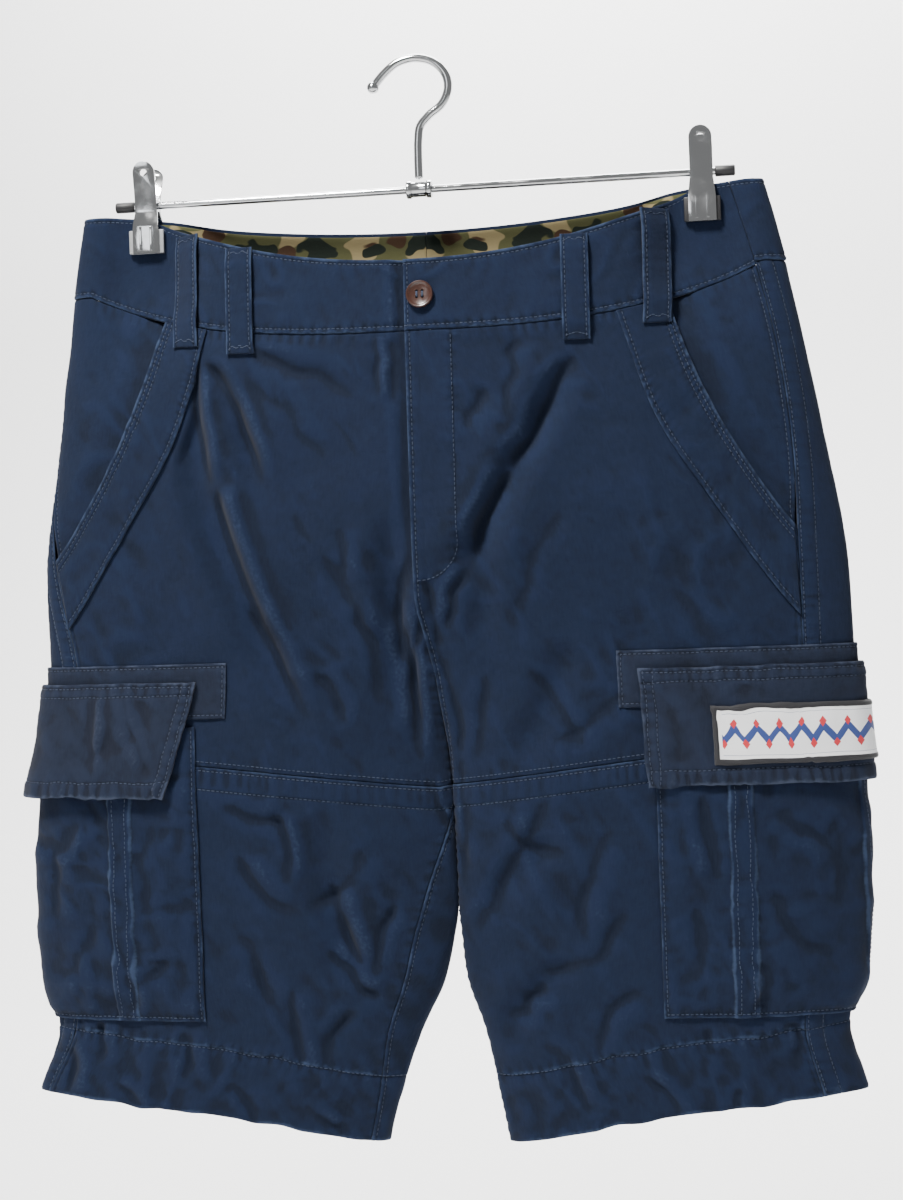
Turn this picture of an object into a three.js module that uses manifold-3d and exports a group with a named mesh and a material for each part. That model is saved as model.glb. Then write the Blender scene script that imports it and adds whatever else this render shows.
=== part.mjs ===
// Knee-length cargo shorts hanging from a metal clip hanger, in millimetres.
// +Z is up, +X is to the viewer's right and the front of the shorts faces -Y.
// The origin is the inner top of the hanger's hook, where a rail carries it.
import * as THREE from "three";
import { mergeVertices } from "three/addons/utils/BufferGeometryUtils.js";
import Module from "manifold-3d";

const wasm = await Module();
wasm.setup();

// Driving sizes of the cloth
const CLOTH = 1.2; // one layer of twill
const DOUBLE = 2.2; // two layers, as in the waistband and hems
const GAP = 0.3; // between pieces that meet
const BAND_PROUD = 0.6; // the waistband stands this far out of the panels
const CLIP_X = 187; // centre of each clip, from the middle
const WAIST_HALF = 226; // half the waistband laid flat
const HEM_DEPTH = 46; // the turned-up hem
const SIDES = { left: -1, right: 1 };
const TUCK = 1.4; // between two layers that lie on each other

// Sections of the hanging cloth, a row for each level: the silhouette's half width on either side, the depths of
// the two faces, split from 0 (one body) to 1 (two legs), lean of the line between the legs to the right and the
// gap between them. seamL and seamR are how far each outseam lies ahead of its side fold, along the cloth, and
// inseamL is how far the left inseam lies ahead of its inner fold.
const LEVELS = [
  // z, halfL, halfR, front, back, split, lean, gap, seamL, seamR, inseamL
  [-80, 229, 223.5, 28, 25, 0, 0, 0.7, -8, 27, 0],
  [-140, 239, 238, 32, 27, 0, 0, 0.7, -7, 25, 0],
  [-200, 248, 250, 36, 30, 0, 0, 0.7, -5, 24, 0],
  [-265, 257, 261.5, 37, 32, 0, 0, 0.7, 1, 28, 0],
  [-330, 266.5, 272, 36, 35, 0.02, 1, 0.7, 14, 37, 0],
  [-400, 266.5, 275, 33, 34, 0.38, 4, 0.7, 30, 40, 0],
  [-455, 270, 275, 31, 32, 0.85, 8, 0.8, 33, 41, 0],
  [-487, 273, 275.5, 30, 31, 1, 9, 0.9, 33, 41, 0],
  [-560, 274, 273, 28, 29, 1, 10, 1.4, 32, 39, 28],
  [-610, 272, 269.5, 27, 28, 1, 7, 14, 28, 37, 32],
  [-645, 269.5, 264.5, 26, 27, 1, 4, 42, 20, 36, 27],
  [-690, 285, 275.5, 26, 26, 1, 0, 68, 14, 36, 18],
  [-730, 290, 278, 25, 25, 1, -2, 86, 14, 36, 16],
].map(([z, halfL, halfR, front, back, split, lean, gap, seamL, seamR, inseamL]) => (
  { z, halfL, halfR, front, back, split, lean, gap, seamL, seamR, inseamL }
));

// The large folds, each along a line through three points seen from the front. width is from the bottom of the
// trough to its shoulder, and depth is positive for a trough and negative for a ridge.
const FOLDS = [
  { face: "front", x1: -150, z1: -190, x2: -146, z2: -300, x3: -74, z3: -457, width: 13, depth: 7 },
  { face: "front", x1: -149, z1: -195, x2: -124, z2: -230, x3: -106, z3: -300, width: 11, depth: 4 },
  { face: "front", x1: 104, z1: -197, x2: 55, z2: -282, x3: 12, z3: -358, width: 13, depth: 7 },
  { face: "front", x1: 41, z1: -305, x2: 38, z2: -347, x3: 34, z3: -400, width: 12, depth: 4 },
  { face: "front", x1: -20, z1: -290, x2: -24, z2: -370, x3: -20, z3: -448, width: 12, depth: 6 },
  { face: "front", x1: 92, z1: -385, x2: 76, z2: -430, x3: 50, z3: -475, width: 14, depth: 4 },
  { face: "front", x1: -78, z1: -490, x2: -72, z2: -560, x3: -54, z3: -612, width: 15, depth: 5 },
  { face: "front", x1: 84, z1: -510, x2: 52, z2: -540, x3: 30, z3: -562, width: 13, depth: 4 },
  { face: "front", x1: 88, z1: -592, x2: 62, z2: -618, x3: 32, z3: -648, width: 13, depth: 4 },
  { face: "back", x1: -120, z1: -180, x2: -92, z2: -290, x3: -46, z3: -400, width: 15, depth: 6 },
  { face: "back", x1: 124, z1: -176, x2: 104, z2: -300, x3: 50, z3: -420, width: 15, depth: 6 },
  { face: "back", x1: 60, z1: -250, x2: 74, z2: -360, x3: 120, z3: -450, width: 15, depth: 4 },
  { face: "back", x1: -60, z1: -470, x2: -104, z2: -540, x3: -128, z3: -640, width: 16, depth: 5 },
  { face: "back", x1: 56, z1: -480, x2: 96, z2: -560, x3: 104, z3: -650, width: 16, depth: 5 },
];
const FOLD_STEPS = 10; // straight stretches that stand for each fold's line

// Where the folds fade out: below the waistband, beside the pocket trim, at the side folds and inner folds, over the
// cargo pockets, ahead of them on each side and behind them. Each pair is where it starts and how long it takes.
const FADE = {
  waist: [-168, 22],
  trim: [2, 10],
  side: [40, 25],
  inner: [0, 26],
  above: [-396, 15],
  below: [-634, 12],
  ahead: { left: [142, 14], right: [155, 14] },
  behind: [105, 14],
};

// Cargo pockets: front is each front edge's distance from the middle, and the rest runs along the cloth from there
const POCKET = {
  front: { left: 159, right: 145 },
  width: 176,
  top: -438,
  secondRow: -466,
  bottom: -634,
  bulge: 4.2,
  pleatAt: [46, 130],
};
const PLEAT_WIDTH = 15;
const POCKET_BAND = { over: 23, top: -396, bottom: -433 };
const FLAP = {
  front: { left: 156.5, right: 135.5 },
  over: 3,
  top: -408,
  bottom: -484,
  thick: 1.8,
  standOff: { left: 13, right: 8.5 },
  slant: { left: 15, right: 3.5 },
};
const PATCH = { from: 101, to: -24, top: -433, bottom: -471, thick: 1.5 };

// Front pocket openings, from the waist seam to the outseam, by distance from the middle
const OPENING = [
  { x: 163, z: -150 },
  { x: 182, z: -208 },
  { x: 205.5, z: -258 },
  { x: 243, z: -315 },
  { x: 276, z: -351 },
];
const TRIM = [
  { x: 128, z: -150 },
  { x: 140, z: -190 },
  { x: 160, z: -248 },
  { x: 191, z: -298 },
  { x: 236, z: -364 },
  { x: 272, z: -405 },
];
const EDGE_SHIFT = 6; // both edges lie this much to the viewer's left of their mean place
const TRIM_LIFT = { inner: 0.8, outer: 2.1 };
const HIP = { under: 12, tuck: 1.5 }; // the hip panel runs this far in behind the front one, and this clear of it

// Fly: the right front laps over the left one, from the waist down to the seam of the crotch
const FLY = { over: 8, under: 6, bottom: -352, taper: 48, blend: 10, merged: [-455, 30] };
const BUTTON = { x: 3, z: -160, radius: 9, thick: 3.4, rim: 1.6, dish: 1.1, hole: 1, holeAt: 2.6 };
const FACING = { end: -6, down: 2.5, up: 4, thick: 1 };
const LOOP = { width: 18, thick: 1.4, proud: 1.6, below: 15 };
const LOOPS = [
  { name: "belt_loop_front_left", face: "front", x: -118, over: 0 },
  { name: "belt_loop_front_right", face: "front", x: 104, over: 0 },
  { name: "belt_loop_side_left", face: "front", x: -156, over: 1.4 },
  { name: "belt_loop_side_right", face: "front", x: 155, over: 1.5 },
  { name: "belt_loop_back", face: "back", x: 0, over: 0 },
];

// Hanger
const BAR = { z: -85, radius: 2.5, half: 207 };
const CAP = { radius: 3.6, length: 11 };
const HOOK_RADIUS = 2.8;
const HUB = { radius: 6, half: 8.5 };
const CLIP = {
  top: -56,
  jaw: -102,
  bottom: -118,
  width: 18,
  narrow: 15,
  plate: 1.2,
  hole: 2.4,
  ear: 8,
  rib: 1.6,
  padWidth: 24,
  pad: 2.6,
};
const HOOK = [
  { x: -29, z: -15 },
  { x: -22, z: -7 },
  { x: -12, z: 0.5 },
  { x: 0, z: HOOK_RADIUS },
  { x: 12, z: -0.5 },
  { x: 20, z: -9 },
  { x: 21.5, z: -19 },
  { x: 17, z: -29 },
  { x: 8, z: -36 },
  { x: 2, z: -43 },
  { x: 0.4, z: -52 },
  { x: 0, z: -64 },
  { x: 0, z: -78.6 },
];
// Inner faces of the two clip plates, as distances from the bar's plane
const FRONT_PLATE = [
  { y: 9.5, z: -50 },
  { y: 4.4, z: -78 },
  { y: 3.4, z: -90 },
  { y: 6.6, z: -98 },
  { y: 6.6, z: -121 },
];
const REAR_PLATE = [
  { y: 21, z: -50 },
  { y: 6, z: -78 },
  { y: 3.6, z: -90 },
  { y: 7.8, z: -98 },
  { y: 7.8, z: -121 },
];
const X_AXIS = new THREE.Vector3(1, 0, 0);
const Y_AXIS = new THREE.Vector3(0, 1, 0);
const Z_AXIS = new THREE.Vector3(0, 0, 1);

const lerp = (a, b, t) => a + (b - a) * t;
const clamp = (v, low, high) => Math.min(high, Math.max(low, v));
const smooth = (t) => clamp(t, 0, 1) ** 2 * (3 - 2 * clamp(t, 0, 1));
const range = (n) => [...Array(n).keys()];
const fade = (value, [start, length]) => smooth((value - start) / length);
const nameOf = (side) => (side < 0 ? "left" : "right");

// The level table at any height, through its rows by a cubic
function level(z) {
  const n = LEVELS.length;
  const after = LEVELS.findIndex((row) => row.z <= z);
  const i = after < 0 ? n - 2 : clamp(after - 1, 0, n - 2);
  const [p0, p1, p2, p3] = [i - 1, i, i + 1, i + 2].map((k) => LEVELS[clamp(k, 0, n - 1)]);
  const t = clamp((z - p1.z) / (p2.z - p1.z), 0, 1);
  const out = { z };
  for (const key of Object.keys(p1)) {
    if (key === "z") continue;
    const slope1 = ((p2[key] - p0[key]) / (p2.z - p0.z)) * (p2.z - p1.z);
    const slope2 = ((p3[key] - p1[key]) / (p3.z - p1.z)) * (p2.z - p1.z);
    const d = p2[key] - p1[key];
    out[key] = p1[key] + t * (slope1 + t * (3 * d - 2 * slope1 - slope2 + t * (slope1 + slope2 - 2 * d)));
  }
  out.split = clamp(out.split, 0, 1);
  out.gap = Math.max(out.gap, LEVELS[0].gap);
  return out;
}

const halfOf = (side, row) => (side < 0 ? row.halfL : row.halfR);

// One side's section: angle 0 is its front inner end, 90 degrees the side fold and 180 the back inner end.
// x is measured outwards from the middle, on either side.
function section(side, angle, row) {
  const depth = angle < Math.PI / 2 ? row.front : row.back;
  const half = halfOf(side, row);
  const inner = row.gap / 2 + side * row.lean;
  const reach = (half - inner) / 2;
  const body = { x: half * Math.sin(angle), y: -depth * Math.cos(angle) };
  const leg = { x: inner + reach - reach * Math.cos(2 * angle), y: -depth * Math.sin(2 * angle) };
  return { x: lerp(body.x, leg.x, row.split), y: lerp(body.y, leg.y, row.split) };
}

// Lengths along one side's section at a height, from the side fold: front lengths positive, back ones negative
const RING_STEPS = 180;
const rings = new Map();
function ring(side, z) {
  const key = side * 1e6 + Math.round(z * 50);
  if (!rings.has(key)) {
    const row = level(z);
    const angles = range(RING_STEPS + 1).map((i) => (Math.PI * i) / RING_STEPS);
    const points = angles.map((a) => section(side, a, row));
    const lengths = [0];
    for (let i = 1; i <= RING_STEPS; i++) {
      const run = Math.hypot(points[i].x - points[i - 1].x, points[i].y - points[i - 1].y);
      lengths.push(lengths[i - 1] + run);
    }
    const fold = lengths[RING_STEPS / 2];
    rings.set(key, { row, angles, points, along: lengths.map((s) => fold - s) });
  }
  return rings.get(key);
}

// The angle at a length along the section
function angleAt(r, along) {
  let low = 0;
  let high = RING_STEPS;
  while (high - low > 1) {
    const mid = (low + high) >> 1;
    if (r.along[mid] >= along) low = mid;
    else high = mid;
  }
  const t = (r.along[low] - along) / (r.along[low] - r.along[high]);
  return lerp(r.angles[low], r.angles[high], t);
}

const frontLength = (side, z) => ring(side, z).along[0];
const backLength = (side, z) => -ring(side, z).along[RING_STEPS];
const outseam = (side, z) => (side < 0 ? level(z).seamL : level(z).seamR);
const inseam = (side, z) => (side < 0 ? Math.max(0, level(z).inseamL) : 0);

// Length along the front face at a distance x from the middle
function alongAtX(side, x, z, face) {
  const r = ring(side, z);
  const order = range(RING_STEPS / 2).map((i) => (face === "front" ? i : RING_STEPS - i));
  const hit = order.find((i) => r.points[i + (face === "front" ? 1 : -1)].x >= x) ?? order.at(-1);
  const next = hit + (face === "front" ? 1 : -1);
  const t = clamp((x - r.points[hit].x) / (r.points[next].x - r.points[hit].x), 0, 1);
  return lerp(r.along[hit], r.along[next], t);
}

// Edges of the waistband, thigh seam and hem, by distance from the middle
const sag = (x, reach, power) => 1 - clamp(Math.abs(x) / reach, 0, 1) ** power;
const bandTopFront = (x) => -94 - 42 * sag(x, CLIP_X, 2.2) + 2 * smooth((Math.abs(x) - CLIP_X) / 30);
const bandTopBack = (x) => -94 - 15 * sag(x, CLIP_X, 2) + 2 * smooth((Math.abs(x) - CLIP_X) / 30);
const bandBottomFront = (x) => -146 - 37 * sag(x, WAIST_HALF, 3);
const bandBottomBack = (x) => -146 - 12 * sag(x, WAIST_HALF, 2);
const thighSeam = (x) => -483 + 0.12 * Math.abs(x);
const HEM = { inner: 42, outer: 275, z: -719, slope: 0.145, rise: 4.5 };
function hemEdge(x) {
  const share = clamp((Math.abs(x) - HEM.inner) / (HEM.outer - HEM.inner), 0, 1);
  return HEM.z + HEM.slope * (Math.abs(x) - HEM.inner) + 4 * HEM.rise * share * (1 - share);
}
const hemTop = (x) => hemEdge(x) + HEM_DEPTH;

// Heights that the panels' rows share, so that edges that meet are divided alike
const UPPER_ROWS = [-200, -228, -256, -284, -312, -340, -370, -400, -430];
const LOWER_ROWS = [-500, -530, -560, -590, -618];
const atHeight = (z) => () => z;
const underWaist = (bottom) => [(x) => bottom(x) - GAP / 2, (x) => (bottom(x) + UPPER_ROWS[0]) / 2];
const hemRows = [(x) => hemTop(x) + 0.6, (x) => hemTop(x) - 0.6, (x) => hemEdge(x) + HEM_DEPTH / 2, hemEdge];
const rowsBetween = (upper, lower, count) =>
  range(count + 1).map((i) => (x) => lerp(upper(x), lower(x), i / count));

// Folds as lists of short stretches
const foldLines = FOLDS.map((f) => {
  const curve = new THREE.QuadraticBezierCurve(
    new THREE.Vector2(f.x1, f.z1),
    new THREE.Vector2(2 * f.x2 - (f.x1 + f.x3) / 2, 2 * f.z2 - (f.z1 + f.z3) / 2),
    new THREE.Vector2(f.x3, f.z3),
  );
  return { ...f, points: curve.getPoints(FOLD_STEPS) };
});

// How far the folds move the cloth outwards at a place seen from the front
function foldHeight(x, z, face) {
  let height = 0;
  for (const f of foldLines) {
    if (f.face !== face) continue;
    let near = Infinity;
    let at = 0;
    for (let i = 0; i < FOLD_STEPS; i++) {
      const [a, b] = [f.points[i], f.points[i + 1]];
      const run = (b.x - a.x) ** 2 + (b.y - a.y) ** 2;
      const t = clamp(((x - a.x) * (b.x - a.x) + (z - a.y) * (b.y - a.y)) / run, 0, 1);
      const d = Math.hypot(x - lerp(a.x, b.x, t), z - lerp(a.y, b.y, t));
      if (d < near) {
        near = d;
        at = (i + t) / FOLD_STEPS;
      }
    }
    const q = near / f.width;
    const ends = smooth(at / 0.25) * smooth((1 - at) / 0.3);
    height -= f.depth * ends * (1 - 0.8 * q * q) * Math.exp(-0.7 * q * q);
  }
  return height;
}

// How much of the folds is left at a place
function foldShare(side, along, x, z) {
  const inner = frontLength(side, z) - Math.abs(along);
  const pocket = fade(z, FADE.above) + fade(-z, [-FADE.below[0], FADE.below[1]]);
  const clear = along > 0 ? fade(along, FADE.ahead[nameOf(side)]) : fade(-along, FADE.behind);
  const waist = fade(-z, [-FADE.waist[0], FADE.waist[1]]);
  const trim = along > 0 ? fade(trimEdge.xAt(side, z) - Math.abs(x), FADE.trim) : 1;
  const legs = lerp(1, fade(inner, FADE.inner), level(z).split);
  return waist * trim * legs * fade(Math.abs(along), FADE.side) * clamp(pocket + clear, 0, 1);
}

// The clips press the two faces together, fully over their jaws and less and less away from them
const PINCH = { half: 13.5, across: 23, bottom: -124, down: 55 };
function pinch(x, z) {
  const aside = Math.max(0, Math.abs(Math.abs(x) - CLIP_X) - PINCH.half) / PINCH.across;
  const below = Math.max(0, PINCH.bottom - z) / PINCH.down;
  return Math.exp(-(aside ** 2) - below ** 2);
}
const PRESSED = { front: -2.4, back: 3.6 };

// A place past the middle or past an inner fold belongs to the next face
function locate(side, along, z) {
  const front = frontLength(side, z);
  const back = backLength(side, z);
  const parted = level(z).split > 0.5;
  if (along > front) {
    const past = along - front;
    if (parted) return { side, along: past - back };
    return { side: -side, along: frontLength(-side, z) - past };
  }
  if (along < -back) {
    const past = -back - along;
    if (parted) return { side, along: front - past };
    return { side: -side, along: past - backLength(-side, z) };
  }
  return { side, along };
}

// The outer face of the cloth at a length along the section and a height
function skin(side, along, z) {
  const r = ring(side, z);
  const p = section(side, angleAt(r, along), r.row);
  const face = along > 0 ? "front" : "back";
  const rounded = clamp((halfOf(side, r.row) - p.x) / 12, 0, 1);
  const y = lerp(p.y, PRESSED[face] * Math.sqrt(rounded), pinch(p.x, z));
  const share = foldShare(side, along, p.x, z);
  const fold = share > 0 ? foldHeight(side * p.x, z, face) * share : 0;
  return new THREE.Vector3(side * p.x, y + (face === "front" ? -fold : fold), z);
}

// Outward direction of the cloth, from neighbouring points
function outward(side, along, z) {
  const step = 1.5;
  const low = 0.01 - backLength(side, z);
  const high = frontLength(side, z) - 0.01;
  const { split } = level(z);
  const joined = split < 0.03 || split > 0.97;
  const near = (at) => {
    const p = joined ? locate(side, at, z) : { side, along: clamp(at, low, high) };
    return skin(p.side, p.along, z);
  };
  const a = near(along - step);
  const b = near(along + step);
  const c = skin(side, clamp(along, low + 0.5, high - 0.5), z - step);
  const d = skin(side, clamp(along, low + 0.5, high - 0.5), z + step);
  return new THREE.Vector3().crossVectors(b.sub(a), d.sub(c)).normalize().multiplyScalar(-side);
}

// A point on the cloth, moved out by lift
function lifted(side, along, z, lift) {
  const p = locate(side, along, z);
  return skin(p.side, p.along, z).addScaledVector(outward(p.side, p.along, z), lift);
}

// A closed mesh from a grid of outer points and one of inner points, rows by columns
function shell(outer, inner) {
  const rows = outer.length;
  const cols = outer[0].length;
  const positions = [...outer.flat(), ...inner.flat()].flatMap((p) => [p.x, p.y, p.z]);
  const index = [];
  const id = (layer, i, j) => layer * rows * cols + i * cols + j;
  const quad = (a, b, c, d) => index.push(a, b, c, a, c, d);
  for (let i = 0; i + 1 < rows; i++)
    for (let j = 0; j + 1 < cols; j++) {
      quad(id(0, i, j), id(0, i + 1, j), id(0, i + 1, j + 1), id(0, i, j + 1));
      quad(id(1, i, j), id(1, i, j + 1), id(1, i + 1, j + 1), id(1, i + 1, j));
    }
  for (let i = 0; i + 1 < rows; i++) {
    quad(id(0, i, 0), id(1, i, 0), id(1, i + 1, 0), id(0, i + 1, 0));
    quad(id(0, i, cols - 1), id(0, i + 1, cols - 1), id(1, i + 1, cols - 1), id(1, i, cols - 1));
  }
  for (let j = 0; j + 1 < cols; j++) {
    quad(id(0, 0, j), id(0, 0, j + 1), id(1, 0, j + 1), id(1, 0, j));
    quad(id(0, rows - 1, j), id(1, rows - 1, j), id(1, rows - 1, j + 1), id(0, rows - 1, j + 1));
  }
  const geometry = new THREE.BufferGeometry();
  geometry.setAttribute("position", new THREE.Float32BufferAttribute(positions, 3));
  geometry.setIndex(index);
  return facingOut(geometry);
}

// The same mesh with its faces turned outwards if its volume is negative
function facingOut(geometry) {
  const p = geometry.getAttribute("position");
  const index = geometry.index.array;
  const [a, b, c] = [new THREE.Vector3(), new THREE.Vector3(), new THREE.Vector3()];
  let volume = 0;
  for (let i = 0; i < index.length; i += 3) {
    a.fromBufferAttribute(p, index[i]);
    b.fromBufferAttribute(p, index[i + 1]);
    c.fromBufferAttribute(p, index[i + 2]);
    volume += a.dot(b.cross(c));
  }
  if (volume < 0)
    for (let i = 0; i < index.length; i += 3) [index[i + 1], index[i + 2]] = [index[i + 2], index[i + 1]];
  return geometry;
}

// A wall over a grid of shares u and v from 0 to 1: place gives the cloth's side, along and z, with the heights of
// the wall's outer and inner faces above the skin
function wall(us, vs, place) {
  const places = vs.map((v) => us.map((u) => place(u, v)));
  const grids = ["outer", "inner"].map((which) =>
    places.map((line) => line.map((p) => lifted(p.side, p.along, p.z, p[which]))),
  );
  return shell(...grids);
}

// Shares from 0 to 1 along a run between two lengths, closer together near the folds
function shares(from, to, coarse, folds) {
  const fine = 5.5;
  const out = [from];
  const sign = Math.sign(to - from);
  while (sign * (to - out.at(-1)) > fine / 2) {
    const near = Math.min(...folds.map((f) => Math.abs(out.at(-1) - f)));
    out.push(out.at(-1) + sign * clamp(fine + Math.max(0, near - 8) * 0.3, fine, coarse));
  }
  out[out.length - 1] = to;
  return out.map((s) => (s - from) / (to - from));
}
const even = (n) => range(n + 1).map((i) => i / n);

// A cloth panel between two lengths, over rows whose heights may depend on x, so each is settled in a few rounds.
// faces gives the outer and inner heights from the place.
function panel({ side, from, to, rows, coarse, folds = [0], faces }) {
  const middle = rows[rows.length >> 1](150);
  const us = shares(from(middle), to(middle), coarse, folds);
  return wall(us, range(rows.length), (u, row) => {
    const alongAt = (z) => lerp(from(z), to(z), u);
    let z = rows[row](100);
    for (let round = 0; round < 4; round++) {
      const p = locate(side, alongAt(z), z);
      z = rows[row](Math.abs(skin(p.side, p.along, z).x));
    }
    const along = alongAt(z);
    return { side, along, z, ...faces({ z, along, row }) };
  });
}
// Layers lie a little further apart where they turn round the side fold
const nest = (along) => GAP + 0.55 * (1 - smooth((Math.abs(along) - 10) / 14));

// A curve of x and z through the rows of a table, with its distance from the middle at any height on either side
function edgeCurve(rows) {
  const curve = new THREE.CatmullRomCurve3(rows.map((p) => new THREE.Vector3(p.x, 0, p.z)));
  const points = curve.getPoints(60);
  const xAt = (side, z) => {
    const i = clamp(
      points.findIndex((p) => p.z <= z),
      1,
      60,
    );
    const [a, b] = [points[i - 1], points[i]];
    return lerp(a.x, b.x, clamp((a.z - z) / (a.z - b.z), 0, 1)) - side * EDGE_SHIFT;
  };
  return { xAt };
}
const opening = edgeCurve(OPENING);
const trimEdge = edgeCurve(TRIM);
const seamX = (side, z) => Math.abs(skin(side, outseam(side, z), z).x);

// The height where a curve of x and z meets the outseam
function meetsSeam(side, curve) {
  let z = -200;
  while (curve.xAt(side, z) < seamX(side, z) - 0.5) z -= 0.5;
  return z;
}

// How far the fly's lap runs at a height, from 1 to 0, and the height of the left front under it
const lap = (z) => smooth((z - FLY.bottom + FLY.taper) / FLY.taper);
function underFly(side, along, z, layer) {
  if (side > 0) return 0;
  const past = along - frontLength(side, z) + FLY.over * lap(z) + FLY.blend;
  return -(layer + TUCK) * smooth(past / (FLY.blend - 1)) * fade(z, FLY.merged);
}
const frontStart = (side, z) => frontLength(side, z) + (side < 0 ? FLY.under : FLY.over) * lap(z) - GAP / 2;

const group = new THREE.Group();
const finishes = {
  twill: { color: 0x24364f, roughness: 0.9, metalness: 0 },
  flap: { color: 0x343a4e, roughness: 0.9, metalness: 0 },
  facing: { color: 0x5a5b3c, roughness: 0.9, metalness: 0 },
  button: { color: 0x3a2118, roughness: 0.35, metalness: 0 },
  patch: { color: 0xd9dce4, roughness: 0.8, metalness: 0 },
  chrome: { color: 0xc8ccd0, roughness: 0.15, metalness: 1 },
  rubber: { color: 0x111214, roughness: 0.5, metalness: 0 },
};
function add(name, geometry, finish) {
  const mesh = new THREE.Mesh(geometry, new THREE.MeshStandardMaterial(finishes[finish]));
  mesh.name = name;
  group.add(mesh);
  return mesh;
}

// Front above the thigh seam: its outer edge is the pocket opening, and the outseam below that
function frontUpper(name, side) {
  const meets = meetsSeam(side, opening);
  const edge = (z) => (z > meets ? alongAtX(side, opening.xAt(side, z), z, "front") : 0);
  const geometry = panel({
    side,
    from: (z) => frontStart(side, z),
    to: (z) => Math.max(outseam(side, z) + GAP / 2, edge(z)),
    rows: [...underWaist(bandBottomFront), ...UPPER_ROWS.map(atHeight), (x) => thighSeam(x) + GAP],
    coarse: 16,
    folds: [0, frontLength(side, -600)],
    faces: ({ z, along }) => {
      const outer = underFly(side, along, z, CLOTH);
      return { outer, inner: outer - CLOTH };
    },
  });
  add(`front_upper_${name}`, geometry, "twill");
}

// Below the thigh seam the cloth is single down to the hem, which is turned up inside: a row's inner face, by its
// place from the lowest row up
const turned = (fromLowest) => ({ outer: 0, inner: fromLowest < hemRows.length ? -DOUBLE : -CLOTH });
function frontLower(name, side) {
  const rows = [(x) => thighSeam(x) - GAP / 2, ...LOWER_ROWS.map(atHeight), ...hemRows];
  const geometry = panel({
    side,
    from: (z) => frontLength(side, z) - inseam(side, z) - GAP / 2,
    to: (z) => outseam(side, z) + GAP / 2,
    rows,
    coarse: 16,
    folds: [0, frontLength(side, -600)],
    faces: ({ row }) => turned(rows.length - row),
  });
  add(`front_lower_${name}`, geometry, "twill");
}

// Back from the waistband to the hem, round the side fold to the outseam
function back(name, side) {
  const rows = [
    ...underWaist(bandBottomBack),
    ...UPPER_ROWS.map(atHeight),
    thighSeam,
    ...LOWER_ROWS.map(atHeight),
    ...hemRows,
  ];
  const geometry = panel({
    side,
    from: (z) => GAP / 2 - backLength(side, z) - inseam(side, z),
    to: (z) => outseam(side, z) - GAP / 2,
    rows,
    coarse: 24,
    folds: [0, -backLength(side, -430)],
    faces: ({ row }) => turned(rows.length - row),
  });
  add(`back_${name}`, geometry, "twill");
}

// Waistband: two fronts, of which the right one laps over, and two backs
function waistband(name, side) {
  const clip = alongAtX(side, CLIP_X, -110, "front");
  const rearClip = alongAtX(side, CLIP_X, -110, "back");
  const front = panel({
    side,
    from: (z) => frontStart(side, z),
    to: (z) => outseam(side, z) + GAP / 2,
    rows: rowsBetween(bandTopFront, (x) => bandBottomFront(x) + GAP / 2, 3),
    coarse: 17,
    folds: [0, clip - 10, clip + 10],
    faces: ({ z, along }) => {
      const outer = BAND_PROUD + underFly(side, along, z, DOUBLE);
      return { outer, inner: outer - DOUBLE };
    },
  });
  add(`waistband_front_${name}`, front, "twill");
  const rear = panel({
    side,
    from: (z) => GAP / 2 - backLength(side, z),
    to: (z) => outseam(side, z) - GAP / 2,
    rows: rowsBetween(bandTopBack, (x) => bandBottomBack(x) + GAP / 2, 3),
    coarse: 19,
    folds: [0, rearClip - 10, rearClip + 10],
    faces: () => ({ outer: BAND_PROUD, inner: BAND_PROUD - DOUBLE }),
  });
  add(`waistband_back_${name}`, rear, "twill");
}

// Camouflage facing inside the back waistband
function facing(name, side) {
  const clip = alongAtX(side, CLIP_X, -110, "back");
  const top = BAND_PROUD - DOUBLE - 4 * GAP;
  const geometry = panel({
    side,
    from: (z) => GAP / 2 - backLength(side, z),
    to: () => FACING.end,
    rows: rowsBetween((x) => bandTopBack(x) - FACING.down, (x) => bandBottomBack(x) + FACING.up, 3),
    coarse: 19,
    folds: [0, clip - 10, clip + 10],
    faces: () => ({ outer: top, inner: top - FACING.thick }),
  });
  add(`back_facing_${name}`, geometry, "facing");
}

// Hip panel, from behind the opening's edge out to the outseam
function hipPanel(name, side) {
  const meets = meetsSeam(side, opening);
  const heights = [...UPPER_ROWS.filter((z) => z > meets + 8), meets + 2];
  const geometry = panel({
    side,
    from: (z) => alongAtX(side, opening.xAt(side, z) - HIP.under, z, "front"),
    to: (z) => outseam(side, z) + GAP / 2,
    rows: [...underWaist(bandBottomFront), ...heights.map(atHeight)],
    coarse: 14,
    faces: ({ z, along }) => {
      const out = alongAtX(side, opening.xAt(side, z), z, "front") - along;
      const outer = -(CLOTH + HIP.tuck) * (1 - smooth((out - 2) / 24));
      return { outer, inner: outer - CLOTH };
    },
  });
  add(`hip_panel_${name}`, geometry, "twill");
}

// Trim on the front, between the opening's edge and its own curve, from the waist seam to the outseam
function pocketTrim(name, side) {
  const ends = [opening, trimEdge].map((curve) => meetsSeam(side, curve));
  const tops = [opening, trimEdge].map((curve) => bandBottomFront(curve.xAt(side, -165)) - GAP);
  const geometry = wall(even(3), even(14), (u, v) => {
    const z0 = lerp(tops[0], ends[0] + 1, v);
    const z1 = lerp(tops[1], ends[1] + 1, v);
    const z = lerp(z0, z1, u);
    const x = lerp(opening.xAt(side, z0) - 0.6, trimEdge.xAt(side, z1), u);
    return { side, along: alongAtX(side, x, z, "front"), z, ...TRIM_LIFT };
  });
  add(`pocket_trim_${name}`, geometry, "twill");
}

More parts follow.
